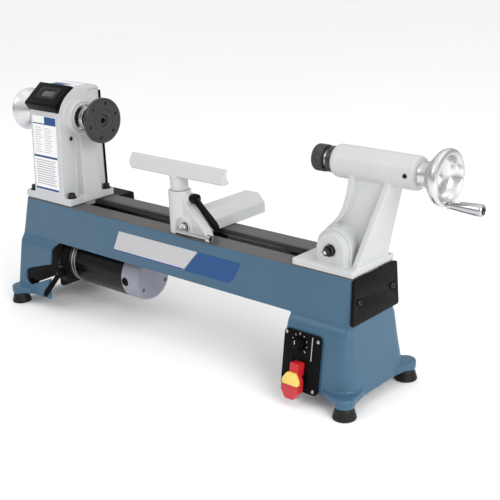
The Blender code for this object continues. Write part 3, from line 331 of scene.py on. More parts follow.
def knurl(obj, centre, axis, radius, count, depth):
    """Press a ridge pattern into a turned band: every other step of its outer ring moves in."""
    u, v, w = AXES[axis]
    hub = Vector(centre) * MM + ORIGIN
    for vertex in obj.data.vertices:
        arm = vertex.co - hub
        arm -= w * arm.dot(w)
        if arm.length > (radius - 0.05) * MM:
            angle = math.atan2(arm.dot(v), arm.dot(u))
            inward = 0.5 - 0.5 * math.cos(angle * count)
            vertex.co -= arm.normalized() * inward * depth * MM
    return obj


def tilt_onto_panel(obj):
    """Turn a piece built upright at the switch panel's middle onto the leg's sloping face."""
    hub = PANEL_CENTRE * MM + ORIGIN
    turn = Matrix.Rotation(-PANEL_TILT, 4, "X")
    obj.data.transform(Matrix.Translation(hub) @ turn @ Matrix.Translation(-hub))
    return obj


def dress(obj, look, body, node_name=None, angle=35):
    """Finish a piece: its material, smooth shading, the body it rides on and the node it is for."""
    obj.data.materials.clear()
    obj.data.materials.append(look)
    obj.data.shade_smooth()
    obj.data.set_sharp_from_angle(angle=math.radians(angle))
    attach(obj, body)
    if node_name:
        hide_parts(node_name)
    return obj


def part(name, profile, start, axis, steps, look, body, node_name=None, ring=False):
    """A turned piece that needs no more work than its finish."""
    return dress(turned(name, profile, start, axis, steps, ring), look, body, node_name)


# Finishes

def feed(tree, made, inputs):
    """Set a shader node's inputs, each from a plain value or from another node's output."""
    for key, value in inputs.items():
        if isinstance(value, bpy.types.NodeSocket):
            tree.links.new(value, made.inputs[key])
        else:
            made.inputs[key].default_value = value
    return made


def node(tree, kind, inputs=None, **settings):
    made = tree.nodes.new("ShaderNode" + kind)
    for key, value in settings.items():
        setattr(made, key, value)
    return feed(tree, made, inputs or {})


def arithmetic(tree):
    """Short names for a node tree's sums: add, take, times, least, most, above."""
    def work(kind):
        return lambda one, two: node(tree, "Math", {0: one, 1: two}, operation=kind).outputs[0]
    return [work(kind) for kind in ("ADD", "SUBTRACT", "MULTIPLY", "MINIMUM", "MAXIMUM", "GREATER_THAN")]


def position(tree, here):
    """X, Y and Z of a point in metres from the bed's middle at bench height."""
    moved = node(tree, "VectorMath", {0: here, 1: ORIGIN}, operation="SUBTRACT").outputs[0]
    return node(tree, "SeparateXYZ", {0: moved}).outputs


def spread(tree, value, low, high, start=0.3, end=0.7):
    """Map a noise value onto a range."""
    made = node(tree, "MapRange", {"Value": value, "From Min": start, "From Max": end, "To Min": low,
        "To Max": high})
    return made.outputs["Result"]


def blend_colours(tree, share, one, two):
    one, two = ((*colour, 1) if isinstance(colour, tuple) else colour for colour in (one, two))
    return node(tree, "Mix", {0: share, 6: one, 7: two}, data_type="RGBA").outputs[2]


def scaled(colour, share):
    return tuple(min(c * share, 1) for c in colour)


def noise(tree, where, size, detail=3, roughness=0.55):
    """Noise whose features are about size millimetres across."""
    return node(tree, "TexNoise", {"Vector": where, "Scale": 1 / (size * MM), "Detail": detail,
        "Roughness": roughness}).outputs["Fac"]


def bumped(tree, layers):
    """A normal from (height, depth in millimetres) layers."""
    normal = None
    for height, depth in layers:
        inputs = {"Height": height, "Distance": depth * MM, "Strength": 1}
        if normal is not None:
            inputs["Normal"] = normal
        normal = node(tree, "Bump", inputs).outputs["Normal"]
    return normal


def finish(name, colour, rough, metal=0, mottle=0.06, mottle_size=35, rough_spread=0.06,
        grain=(0.9, 0.02), ripple=(7, 0.03), coat=0, stretch=(1, 1, 1), specks=0, rings=None, wear_and_edge_highlight=None,
        ground_iron=False, shine=0.5):
    """A procedural finish: mottled colour, uneven roughness and two sizes of relief.

    rings, an (axis, centre) pair, adds the tool marks of turning; the wear colour lightens the corners
    of a dense mesh, partly as wear and partly as a painted highlight along the edges; the ground iron
    option bares the metal of the bed's ways and paints shade, near-black, on the bed's inner faces."""
    made = bpy.data.materials.new(name)
    made.use_nodes = True
    tree = made.node_tree
    shader = tree.nodes["Principled BSDF"]
    here = node(tree, "TexCoord").outputs["Object"]
    where = node(tree, "Mapping", {"Vector": here, "Scale": stretch}).outputs["Vector"]
    add, _, times, _, _, _ = arithmetic(tree)
    cloud = spread(tree, noise(tree, where, mottle_size), 0, 1)
    tint = blend_colours(tree, cloud, scaled(colour, 1 - mottle), scaled(colour, 1 + mottle))
    if specks:
        dust = spread(tree, noise(tree, where, 1.3, 2), 0, 1, 0.66, 0.74)
        tint = blend_colours(tree, times(dust, specks), tint, scaled(colour, 0.45))
    roughness = spread(tree, noise(tree, where, mottle_size / 4), rough - rough_spread, rough + rough_spread)
    layers = [(noise(tree, where, ripple[0]), ripple[1]), (noise(tree, where, grain[0]), grain[1])]
    metallic = metal
    if rings:
        axis, centre = rings
        hub = Vector(centre) * MM + ORIGIN
        keep = Vector([0 if i == "xyz".index(axis) else 1 for i in range(3)])
        arm = node(tree, "VectorMath", {0: here, 1: hub}, operation="SUBTRACT").outputs[0]
        flat = node(tree, "VectorMath", {0: arm, 1: keep}, operation="MULTIPLY").outputs[0]
        radius = node(tree, "VectorMath", {0: flat}, operation="LENGTH").outputs["Value"]
        along = node(tree, "SeparateXYZ", {0: here}).outputs[axis.upper()]
        reach = add(radius, times(along, 0.71))
        tool = node(tree, "TexNoise", {"W": reach, "Scale": 1 / (0.55 * MM), "Detail": 3},
            noise_dimensions="1D").outputs["Fac"]
        layers.append((tool, 0.05))
        roughness = add(roughness, spread(tree, tool, -0.07, 0.07))
    if wear_and_edge_highlight:
        # Lighter tint on sharp convex corners, in patches: partly paint wear, partly a painted highlight
        # along the edges.
        rub_and_highlight = spread(tree, node(tree, "NewGeometry").outputs["Pointiness"], 0, 1, 0.53, 0.60)
        rub_and_highlight = times(rub_and_highlight, spread(tree, noise(tree, here, 9), 0, 0.8))
        tint = blend_colours(tree, rub_and_highlight, tint, wear_and_edge_highlight)
    if ground_iron:
        # Painted shade: the bed's inner faces are coloured near-black for the shadow inside the hollow
        # casting.
        tint = blend_colours(tree, bed_inside_painted_shade(tree, here), tint, (0.010, 0.010, 0.011))
        tint, roughness, metallic, bare = bare_ways(tree, here, tint, roughness)
        layers.append((noise(tree, bare, 0.5), 0.02))
    feed(tree, shader, {"Base Color": tint, "Roughness": roughness, "Metallic": metallic,
        "Specular IOR Level": shine, "Coat Weight": coat, "Coat Roughness": 0.18,
        "Normal": bumped(tree, layers)})
    return made


def bed_inside_painted_shade(tree, here):
    """1 on the bed's inner faces, which are given painted shade: a near-black colour standing in for the
    shadow inside the hollow casting.
    """
    add, take, times, least, most, above = arithmetic(tree)
    x, y, z = position(tree, here)
    skin_depth = WALL - 0.8
    drop = take(APRON_BOTTOM * MM, z)
    share = times(most(drop, 0), 1 / ((APRON_BOTTOM - LEG_FOOT_Z) * MM))
    flare, swell = (times(node(tree, "Math", {0: share, 1: power}, operation="POWER").outputs[0],
        reach * MM) for power, reach in ((0.6, LEG_FLARE), (1.3, RIGHT_SWELL)))
    wall_y = add(add(flare, times(least(drop, 0), 0.04)), (APRON_HALF_WIDTH - skin_depth) * MM)
    right = add(swell, (BED_HALF_LENGTH - skin_depth) * MM)
    span = BED_TOP - APRON_BOTTOM
    slope = times(least(take(BED_TOP * MM, z), span * MM), LEFT_LEAN / span)
    left = add(add(slope, (LEFT_TOP - skin_depth) * MM), times(share, LEFT_SWELL * MM))
    depth_x = least(take(right, x), add(left, x))
    depth_y = take(wall_y, node(tree, "Math", {0: y}, operation="ABSOLUTE").outputs[0])
    mask = times(above(least(depth_x, depth_y), 0), above(add(depth_x, depth_y), LEG_CORNER * MM))
    return times(times(mask, above((BED_TOP - 11.4) * MM, z)), above(z, (LEG_FOOT_Z + 1) * MM))


def bare_ways(tree, here, paint, paint_rough):
    """Ground cast iron on the bed's top faces and in the slot between its ways."""
    _, _, times, _, most, above = arithmetic(tree)
    x, y, z = position(tree, here)
    side = node(tree, "Math", {0: y}, operation="ABSOLUTE").outputs[0]
    slot = times(above((SLOT_HALF_WIDTH + 1) * MM, side), above(x, COLUMN_LEFT * MM))
    share = most(above(z, (BED_TOP - 1.1) * MM), times(slot, above(z, (BED_TOP - 16) * MM)))
    strokes = node(tree, "Mapping", {"Vector": here, "Scale": (0.03, 1, 1)}).outputs["Vector"]
    streak = noise(tree, strokes, 0.8, 4)
    iron = blend_colours(tree, spread(tree, streak, 0, 1), (0.085, 0.081, 0.079), (0.155, 0.148, 0.143))
    rough = node(tree, "Mix", {0: share, 2: paint_rough, 3: spread(tree, streak, 0.38, 0.55)}).outputs[0]
    return blend_colours(tree, share, paint, iron), rough, times(share, 0.7), strokes


def turned_metal(name, colour, rough, axis, centre, metal=1):
    return finish(name, colour, rough, metal, mottle=0.04, mottle_size=20, rough_spread=0.05,
        grain=(0.7, 0.006), ripple=(9, 0.01), rings=(axis, centre))


# The lighter wear colours of both enamels below are partly wear and partly a painted highlight along the
# edges.
ENAMEL = finish("light_grey_enamel", (0.505, 0.514, 0.522), 0.42, mottle=0.025, mottle_size=60,
    grain=(1.4, 0.035), ripple=(9, 0.07), coat=0.08, specks=0.05, wear_and_edge_highlight=(0.68, 0.69, 0.70), shine=0.4)
# The blue enamel's inner faces get painted shade, near-black, through the ground iron option.
BED_PAINT = finish("blue_enamel_and_ground_iron", (0.038, 0.104, 0.171), 0.38, mottle=0.05,
    mottle_size=80, grain=(1.6, 0.03), ripple=(12, 0.08), coat=0.08, specks=0.08,
    wear_and_edge_highlight=(0.14, 0.24, 0.33), ground_iron=True, shine=0.4)
BLACK_PLASTIC = finish("black_moulded_plastic", (0.004, 0.004, 0.0045), 0.42, mottle=0.15,
    grain=(0.55, 0.03), ripple=(14, 0.03), shine=0.06)
BLACK_ENAMEL = finish("black_enamel", (0.005, 0.005, 0.0055), 0.30, mottle=0.2, coat=0.03,
    grain=(1.1, 0.02), ripple=(10, 0.05), shine=0.14)
BLACK_OXIDE = finish("black_oxide_steel", (0.030, 0.030, 0.033), 0.34, 0.85, mottle=0.25, mottle_size=6,
    grain=(0.4, 0.008), ripple=(3, 0.01))
RUBBER = finish("black_rubber", (0.007, 0.007, 0.007), 0.5, mottle=0.2, grain=(0.5, 0.04), specks=0.3,
    shine=0.3)
STEEL = finish("ground_steel", (0.52, 0.52, 0.53), 0.24, 1, mottle=0.06, mottle_size=12,
    grain=(0.5, 0.006), ripple=(6, 0.008), stretch=(0.15, 1, 1))
SPINDLE_STEEL = turned_metal("turned_spindle_steel", (0.50, 0.50, 0.51), 0.22, "x", SPINDLE_CENTRE)
BLACK_TURNED = turned_metal("blackened_turned_iron", (0.046, 0.046, 0.047), 0.33, "x", SPINDLE_CENTRE,
    0.6)
ALUMINIUM = turned_metal("turned_aluminium", (0.66, 0.665, 0.675), 0.24, "x", SPINDLE_CENTRE)
MOTOR_ALUMINIUM = turned_metal("cast_aluminium_bell", (0.46, 0.47, 0.47), 0.38, "x",
    (0, MOTOR_Y, MOTOR_Z))
CHROME = finish("chrome", (0.50, 0.50, 0.51), 0.10, 1, mottle=0.03, mottle_size=8, rough_spread=0.03,
    grain=(0.5, 0.002), ripple=(5, 0.006))
MOTOR_GREY = finish("motor_cap_grey", (0.285, 0.298, 0.360), 0.42, 0.15, mottle=0.05, grain=(0.8, 0.02),
    ripple=(9, 0.03), coat=0.15)
LENS = finish("display_lens", (0.024, 0.027, 0.028), 0.12, mottle=0.10, mottle_size=12,
    rough_spread=0.03, grain=(3, 0.002), ripple=(20, 0.01), coat=0.5)
RED = finish("red_plastic", (0.50, 0.016, 0.022), 0.33, mottle=0.08, grain=(0.6, 0.02), ripple=(8, 0.03),
    coat=0.2)
YELLOW = finish("yellow_plastic", (0.80, 0.58, 0.13), 0.36, mottle=0.05, grain=(0.6, 0.02),
    ripple=(8, 0.03), coat=0.2)
LABEL_WHITE = finish("label_white", (0.82, 0.82, 0.83), 0.35, mottle=0.02, grain=(0.4, 0.004),
    ripple=(18, 0.02), coat=0.3)
LABEL_BLUE = finish("label_blue", (0.002, 0.058, 0.200), 0.45, mottle=0.05, shine=0.2,
    grain=(0.4, 0.004), ripple=(18, 0.02), coat=0.3)
LABEL_SILVER = finish("label_silver", (0.50, 0.50, 0.51), 0.36, 0.55, mottle=0.05, grain=(0.3, 0.008),
    ripple=(18, 0.02), coat=0.2, stretch=(0.1, 1, 1))
LABEL_GREY = finish("label_rule_grey", (0.40, 0.41, 0.44), 0.4, mottle=0.05, grain=(0.4, 0.004))
SLOTS = {  # the record's slot for the pieces with each finish
    "casting_paint": [ENAMEL], "bed_paint": [BED_PAINT], "black_plastic": [BLACK_PLASTIC],
    "black_metal": [BLACK_ENAMEL, BLACK_OXIDE, BLACK_TURNED], "rubber": [RUBBER],
    "steel": [STEEL, SPINDLE_STEEL, CHROME], "aluminium": [ALUMINIUM, MOTOR_ALUMINIUM],
    "motor_grey": [MOTOR_GREY], "lens": [LENS], "red_plastic": [RED], "yellow_plastic": [YELLOW],
}
SLOTS = {look.name: slot for slot, looks in SLOTS.items() for look in looks}


# Bed

SHOULDER = [(21, 79), (45, 75.9), (70, 72.2), (92, 68.8), (110, 66), (117, 64.6), (121, 63), (124, 61.2),
    (126.5, 59.2), (129, 57.6), (133, 56.6), (140, 56.1), (205, 53.5)]


def half_width(z):
    """Half the bed's width at a height: an upright apron, a soft shoulder and flaring legs."""
    z = max(z, SHOULDER[0][0])
    for (z0, w0), (z1, w1) in zip(SHOULDER, SHOULDER[1:]):
        if z <= z1:
            return w0 + (w1 - w0) * (z - z0) / (z1 - z0)
    return SHOULDER[-1][1]


def leg_share(z):
    """0 down to the apron's lower edge, then growing to 1 at the foot of a leg."""
    return max(APRON_BOTTOM - z, 0) / (APRON_BOTTOM - LEG_FOOT_Z)


def half_length(z):
    return BED_HALF_LENGTH + RIGHT_SWELL * leg_share(z) ** 1.3


def left_end(z):
    """How far the wall below the headstock stands from the middle; it leans out towards the feet."""
    span = BED_TOP - APRON_BOTTOM
    return LEFT_TOP + LEFT_LEAN * min(BED_TOP - z, span) / span + LEFT_SWELL * leg_share(z)


def leg_corner(z, growth):
    """Radius of the bed's upright corners: tight on the apron, wider by growth at the feet."""
    return LEG_CORNER + growth * leg_share(z) ** 0.5


def bed_section(z, inset, steps=8):
    """The bed's outline at a height, with its walls moved in by inset."""
    left, right = inset - left_end(z), half_length(z) - inset
    half = half_width(z) - inset
    a, b = (max(leg_corner(z, growth) - inset, 4) for growth in (3, 17))
    corners = ((left + a, a - half, a, 180), (right - b, b - half, b, 270), (right - b, half - b, b, 0),
        (left + a, half - a, a, 90))
    return [(*point, z) for x, y, radius, start in corners for point in arc((x, y), radius, start, start
        + 90, steps)]


def bed_shell(name, inset, heights):
    return loft(name, [bed_section(z, inset) for z in heights])


HEAD_BOLTS = [(x, y) for x in (-364, -256) for y in (-41, 41)]
FEET = {
    "front_left": (LEFT_FOOT_X, -FOOT_Y),
    "front_right": (RIGHT_FOOT_X, -FOOT_Y),
    "rear_left": (LEFT_FOOT_X, FOOT_Y),
    "rear_right": (RIGHT_FOOT_X, FOOT_Y),
}


def foot_ear(x, y):
    """The outline, seen from above, of the ledge that carries a foot at a corner of a leg."""
    end, side = math.copysign(1, x), math.copysign(1, y)
    shape = [(-10, -37), (9, -37)] + arc((0, 0), 16, -30, 100, 24)
    shape += [(-37, 3), (-37, -19)]
    return [(x + end * u, y + side * v) for u, v in shape]


def make_bed():
    heights = [z for z, w in SHOULDER]
    bed = bed_shell("bed", 0, heights)
    hollow = bed_shell("bed_hollow", WALL, [LEG_FOOT_Z - 5] + heights[1:-1] + [BED_TOP - 12])
    ribs = [block("rib", (x - 4, -54, 134), (x + 4, 54, 168)) for x in (-60, 170)]
    boss_height = FOOT_BOSS_TOP - 17.3
    profile = [(0, boss_height), (12, boss_height), (14.6, boss_height - 1), (15.5, boss_height - 3),
        (15.5, 3), (14.3, 0), (0, 0)]
    bosses = [turned("boss", profile, (x, y, 17.3), "z", 48) for x, y in FEET.values()]
    ears = [slab("ear", foot_ear(x, y), "xy", 21.5, FOOT_BOSS_TOP - 1.5) for x, y in FEET.values()]
    arch = [(-306, -5), (262, -5), (264, 112), (265.5, APRON_BOTTOM), (-288.5, APRON_BOTTOM),
        (-304.5, 116)]
    lever_slot = rounded([(-376, 31), (-290, 67), (-290, 92.5), (-381, 64.5)], 15)
    cut(bed, hollow)
    join(bed, *ribs)
    join(bed, *ears)
    join(bed, *bosses)
    cut(bed,
        slab("arch", arch, "xz", -120, 120),
        block("slot", (-246, -SLOT_HALF_WIDTH, 180), (400, SLOT_HALF_WIDTH, 215)),
        block("tenon_seat", (-350, -SLOT_HALF_WIDTH, 190), (-240, SLOT_HALF_WIDTH, 215)),
        block("belt_way", (-349, -33, 180), (-299, 33, 215)),
        slab("lever_slot", lever_slot, "xz", -110, -40),
        tilt_onto_panel(block("switch_hole", on_panel(-16, 6, -30), on_panel(14, -30, 6))))
    cast(bed, 1.5, 5, 0.30)
    dress(bed, BED_PAINT, "bed", "bed_casting", angle=50)

    for name, (x, y) in FEET.items():
        grooves = []
        for k in range(3):
            z = 12.6 - 3.4 * k
            edge = 18.1 - (z - 2) * 0.27
            grooves += [(edge, z), (edge - 0.55, z - 0.5), (edge - 0.45, z - 0.9), (edge + 0.3, z - 1.3)]
        profile = [(0, 32), (4, 32), (4, 17.2), (12, 17.2), (13.6, 16.9), (14.3, 16),
            (14.6, 14.6)] + grooves + [(18, 2.4), (18.1, 1.3), (17.6, 0.3), (16.8, 0), (0, 0)]
        part("foot_" + name + "_rubber", profile, (x, y, 0), "z", 64, RUBBER, "bed", "foot_" + name)


def make_bed_fittings():
    inner, outer = BED_HALF_LENGTH + GAP, BED_HALF_LENGTH + 5
    outline = rounded([(-60, 134), (60, 134), (54, 204.7), (-54, 204.7)], 4)
    cover = slab("end_cover", outline, "yz", inner, outer)
    cut(cover, *(cylinder("well", 6.4, 3, (outer - 1.2, y, 168), "x") for y in (-42, 42)))
    bevel(cover, 1.1)
    dress(cover, BLACK_PLASTIC, "bed", "right_end_cover")
    for place, y in (("front", -42), ("rear", 42)):
        profile = [(0, 2.6), (2.6, 2.5), (4.1, 1.8), (4.9, 0.7), (5, -1), (3, -1), (3, -4.4), (0, -4.4)]
        screw = turned("cover_screw_" + place, profile, (outer, y, 168), "x", 48)
        cut(screw, cylinder("hex", 1.9, 4, (outer + 1, y, 168), "x", 6))
        dress(screw, BLACK_OXIDE, "bed", "end_cover_screw_" + place)

    silver = [(-118, 185), (-135.5, 147), (37, 147), (71, 185)]
    blue = [(73.5, 185), (39.5, 147), (138, 147), (148, 155), (165, 185)]
    stripe = [(-134, 150), (-135.4, 147.2), (37, 147.2), (39.5, 150)]
    for name, outline, look, lift in (("apron_label_silver", silver, LABEL_SILVER, 0.35),
            ("apron_label_blue", blue, LABEL_BLUE, 0.35), ("apron_label_stripe", stripe, LABEL_BLUE,
            0.45)):
        stick(slab(name, rounded(outline, 0.8, 4), "xz", -lift, 0.6), half_width, look)


def stick(plate, front, look):
    """Move a label built upright at y = 0 onto a front face, whose distance is known at each height."""
    for vertex in plate.data.vertices:
        vertex.co.y -= front(vertex.co.z / MM) * MM
    dress(plate, look, "bed")


# Switch panel, built upright about PANEL_CENTRE and then tilted onto the leg

def on_panel(x, out, up):
    return PANEL_CENTRE + Vector((x, -out, up))


def panel_plate(name, outline, out_low, out_high):
    outline = [(u + PANEL_CENTRE.x, v + PANEL_CENTRE.z) for u, v in outline]
    return slab(name, outline, "xz", PANEL_CENTRE.y - out_high, PANEL_CENTRE.y - out_low)


def make_switch():
    panel = panel_plate("switch_plate", oblong(-34.5, 34.5, -46, 46, 7), 0, 3.2)
    join(panel, panel_plate("raised_field", oblong(-30.5, 17.5, -40, 42, 3), 2, 4.2))
    cut(panel, block("rocker_hole", on_panel(-14, 12, -28), on_panel(12, -12, 4)),
        turned("knob_well", [(0, 0), (11, 0), (12, 2), (0, 2)], on_panel(-4, 3.4, 28), "-y"))
    bevel(panel, 0.7, 3)
    dress(tilt_onto_panel(panel), BLACK_PLASTIC, "bed", "switch_panel")

    body = block("rocker_body", on_panel(-13.6, 2.6, -27.6), on_panel(11.6, -22, 3.6))
    cut(body, block("pocket", on_panel(-9.5, 6, -24), on_panel(7.5, -6, 0.5)))
    bevel(body, 0.6, 2)
    dress(tilt_onto_panel(body), BLACK_PLASTIC, "bed", "switch_body")

    for k, (x, z) in enumerate(((-29.5, 40.5), (29.5, 38), (26.5, -40))):
        screw = turned("panel_screw_" + str(k + 1), [(0, 1.7), (1.6, 1.6), (2.6, 1), (2.9, 0.1),
            (2.9, -1.2), (0, -1.2)], on_panel(x, 3.2, z), "-y", 32)
        cut(screw, block("slot", on_panel(x - 2.2, 6, z - 0.4), on_panel(x + 2.2, 4.2, z + 0.4)),
            block("slot", on_panel(x - 0.4, 6, z - 2.2), on_panel(x + 0.4, 4.2, z + 2.2)))
        dress(tilt_onto_panel(screw), STEEL, "bed")
    for k in range(9):
        angle = math.radians(225 - 33.75 * k)
        inner, outer = (13.2, 15) if k % 4 else (13.2, 16.6)
        across = Vector((-math.sin(angle), 0, math.cos(angle))) * 0.35
        along = Vector((math.cos(angle), 0, math.sin(angle)))
        hub = on_panel(-4, 0, 28)
        corners = [hub + along * r + across * s
                   for r, s in ((inner, 1), (outer, 1), (outer, -1), (inner, -1))]
        mark = loft("dial_mark_" + str(k + 1), [
            [corner - Vector((0, out, 0)) for corner in corners] for out in (4.1, 4.45)])
        dress(tilt_onto_panel(mark), LABEL_WHITE, "bed")
    fin = panel_plate("panel_fin", oblong(19, 20.4, 6, 43, 0.5, 3), 3, 4.6)
    dress(tilt_onto_panel(fin), STEEL, "bed")

    profile = [(0, 14), (6.4, 14), (7.5, 13.6), (8.1, 12.6), (9.5, 3), (9.6, 1.2), (9.2, 0.5), (3, 0.5),
        (3, -9), (0, -9)]
    hub = on_panel(-4, 3.2, 28)
    knob = knurl(turned("speed_dial_knob", profile, hub, "-y", 96), hub, "-y", 8, 24, 0.45)
    dress(tilt_onto_panel(knob), BLACK_PLASTIC, "speed_knob", "speed_knob")
    pointer = loft("speed_dial_pointer",
        [[on_panel(-4 + x, out, 28 + z) for x, z in ((-0.5, 1), (0.5, 1), (0.5, 6.6), (-0.5, 6.6))]
        for out in (17, 17.4)])
    dress(tilt_onto_panel(pointer), LABEL_WHITE, "speed_knob")

    plate = rounded([(-18, -42), (-9.5, -54.5), (5.5, -54.5), (14, -42), (14, -25), (6.6, -13),
        (-9, -13), (-18, -25)], 3.5, 6)
    paddle = panel_plate("stop_paddle", plate, 11, 23)
    join(paddle, block("stem", on_panel(-9, 17, -20), on_panel(6.6, -3, 0)))
    cut(paddle, block("key_slot", on_panel(-22, 30, -33), on_panel(18, 18, -9)),
        block("key_bore", on_panel(-6.5, 19, -27), on_panel(2.5, 5, -19)))
    bevel(paddle, 0.9, 3)
    dress(tilt_onto_panel(paddle), RED, "paddle", "switch_paddle")
    outline = rounded([(-17.4, -32.6), (13.4, -32.6), (13.4, -25), (6.2, -13.4), (-8.6, -13.4),
        (-17.4, -25)], 3, 6)
    key = panel_plate("lockout_key", outline, 18.3, 24)
    join(key, block("tongue", on_panel(-6, 20, -26.5), on_panel(2, 7, -19.5)))
    bevel(key, 0.8, 3)
    dress(tilt_onto_panel(key), YELLOW, "safety_key", "safety_key")


# Headstock

def crown(radius, steps=24):
    """The rounded front of the column's top, in (y, z)."""
    return arc((17.9, 352.1), radius, 161.9, 111.9, steps)


def column_outline(inset=0):
    """The headstock's side outline, front to rear, in (y, z)."""
    floor = 206 + 13 * (inset > 0)
    return ([(-52 + inset, floor)] + crown(64 - inset) + [(46 - inset, 411.5 - inset),
        (54 - inset, 405 - inset), (54 - inset, floor)])


def make_headstock():
    left, right = COLUMN_LEFT, COLUMN_RIGHT
    body = slab("headstock", column_outline(), "yz", left, right)
    base = block("base", (-BED_HALF_LENGTH, -BED_HALF_WIDTH, BED_TOP + GAP), (-248.5, BED_HALF_WIDTH,
        BED_TOP + 13.9))
    tenon = block("tenon", (-348, -SLOT_HALF_WIDTH + 0.5, 194), (-262, SLOT_HALF_WIDTH - 0.5, BED_TOP
        + 6))
    buttress = loft("buttress", [rectangle(-272, -245, -19, 23.5, BED_TOP + 2),
                                 rectangle(-272, -255.5, -9, 17.5, 338)])
    profile = [(0, 15), (29, 15), (30.4, 14), (34, 0), (38, -1.5), (38, -4), (0, -4)]
    front_boss = turned("boss", profile, (right, 0, AXIS_Z), "x", 64)
    profile = [(0, 14), (29, 14), (30.4, 13), (33, 0), (34, -4), (0, -4)]
    rear_boss = turned("boss", profile, (left, 0, AXIS_Z), "-x", 64)
    lugs = [block("lug", (left - 8, 46, z), (left + 6, 61, z + 12)) for z in (226, 387)]
    for piece in (base, tenon, buttress, front_boss, rear_boss, *lugs):
        join(body, piece)
    relief = [(46, 222), (60, 222), (60, 404), (24, 404)]
    for cutter in (slab("hollow", column_outline(WALL), "yz", left + WALL, right - WALL),
            block("opening", (left + WALL, 30, 225), (right - WALL, 80, 392)),
            block("belt_way", (-347.5, -32, 185), (-299.5, 32, 224)), cylinder("bearing_bore", 26.3, 160,
            (-400, 0, AXIS_Z), "x", 64), cylinder("lock_hole", 4, 16, (right - 4, -20, 323), "x", 32),
            slab("relief", relief, "yz", right - 3, right + 4)):
        cut(body, cutter)
    cast(body, 1.25, 6, 0.35)
    dress(body, ENAMEL, "bed", "headstock_casting", angle=50)

    seat = BED_TOP + 13.9
    for i, (x, y) in enumerate(HEAD_BOLTS):
        profile = [(0, 9), (5.4, 9), (6.1, 8.6), (6.4, 7.9), (6.5, 1.9), (6.5, GAP), (4, GAP), (4, -22),
            (0, -22)]
        bolt = knurl(turned("head_bolt_" + str(i + 1), profile, (x, y, seat), "z", 60), (x, y, seat),
            "z", 6.4, 20, 0.35)
        cut(bolt, cylinder("hex", 3.2, 8, (x, y, seat + 4.6), "z", 6))
        dress(bolt, BLACK_OXIDE, "bed", "headstock_bolt_" + str(i + 1))
        profile = [(6.6, 0.2), (8.6, 0.2), (9, 0.5), (9, 1.3), (8.6, 1.6), (6.6, 1.6)]
        part("head_washer_" + str(i + 1), profile, (x, y, seat), "z", 48, BLACK_OXIDE, "bed", ring=True)

    profile = [(12.8, 14.5), (13.3, 15), (16.2, 15), (16.5, 14.4), (22.3, 14.4), (22.6, 15), (25.4, 15),
        (26, 14.4), (26, 0.5), (25.5, 0), (12.8, 0)]
    for name, x in (("front_bearing", right - 3), ("rear_bearing", left - 12)):
        part(name + "_ring", profile, (x, 0, AXIS_Z), "x", 96, SPINDLE_STEEL, "bed", name, ring=True)

    profile = [(22.7, 0), (26.2, 0), (26.2, 4.4), (25.5, 5.2), (23.2, 5.2), (22.7, 4.7)]
    part("bearing_cover", profile, (right + 12.4, 0, AXIS_Z), "x", 96, ENAMEL, "bed", ring=True)
    profile = [(0, 1), (1.7, 1), (1.7, 3), (3.2, 3), (3.7, 2.5), (3.7, 0), (0, 0)]
    part("spindle_lock_screw", profile, (right - 3.8, -20, 323), "x", 32, BLACK_OXIDE, "bed")

    pod_outline = [(-51.5, 384.5), (-50, 388), (-12, 417.5), (-4.6, 414)]
    pod_outline += crown(64 + GAP)[::-1]
    pod = slab("display_pod", pod_outline, "yz", left - 3.5, right + 0.5)
    bevel(pod, 1.3, 3, 25)
    cut(pod, face_plate("recess", 24, 10.5, -1.2, 6))
    dress(pod, BLACK_PLASTIC, "bed", "display_housing")
    window = bevel(face_plate("display_glass", 23.6, 10.1, -0.9, -0.1), 0.3, 2)
    dress(window, LENS, "bed", "display_window")
    bezel = face_plate("display_bezel", 28, 14, -0.3, 0.7, 2.5)
    cut(bezel, face_plate("opening", 17, 6.5, -3, 3))
    dress(bevel(bezel, 0.3, 2), BLACK_ENAMEL, "bed")
    make_headstock_label()


def face_plate(name, half_x, half_y, low, high, corner=0):
    """A plate that lies on the display's sloping face, low and high being its depths there."""
    plate = slab(name, oblong(-half_x, half_x, -half_y, half_y, corner), "xy", low, high)
    hub = FACE_CENTRE * MM + ORIGIN
    plate.data.transform(Matrix.Translation(hub) @ Matrix.Rotation(FACE_SLOPE, 4,
        "X") @ Matrix.Translation(-ORIGIN))
    return plate


def make_headstock_label():
    """A paper label of plain bands and rules down the column's front face."""
    plate = slab("crown_sticker", oblong(-349, -289, 5, 38, 1, 4), "xy", 411.2, 412.15)
    dress(plate, LABEL_WHITE, "bed")
    corner = [(-348.8, 5.2), (-318, 5.2), (-302, 21), (-348.8, 21)]
    dress(slab("crown_sticker_band", corner, "xy", 411.3, 412.25), LABEL_BLUE, "bed")

    sheets = [("", -346, -279, 226, 363, 0.25, LABEL_WHITE), ("_band_top", -312, -279.4, 348, 362.6,
        0.33, LABEL_BLUE), ("_line_top", -345.6, -312, 348, 350, 0.33, LABEL_BLUE),
        ("_band_middle", -345.6, -279.4, 287, 291, 0.33, LABEL_BLUE), ("_band_foot", -345.6, -279.4, 227,
        231, 0.33, LABEL_BLUE),]
    for k in range(11):
        upper, lower, number = 297 + 4.4 * k, 237 + 4.4 * k, str(k + 1)
        sheets += [("_rule_" + number, -341, -320 - 3 * (k % 3), upper, upper + 1.1, 0.31, LABEL_GREY),
            ("_entry_" + number, -313, -296 + 4 * (k % 2), upper, upper + 1.1, 0.31, LABEL_GREY),
            ("_line_" + number, -341, -284 - 5 * (k % 2), lower, lower + 1.9, 0.31, LABEL_GREY),]
    for name, x0, x1, z0, z1, lift, look in sheets:
        plate = slab("head_label" + name, oblong(x0, x1, z0, z1, 0.4, 3), "xz", -lift, 0.5)
        stick(plate, lambda z: 52 - 9 * (z - 206) / 166, look)


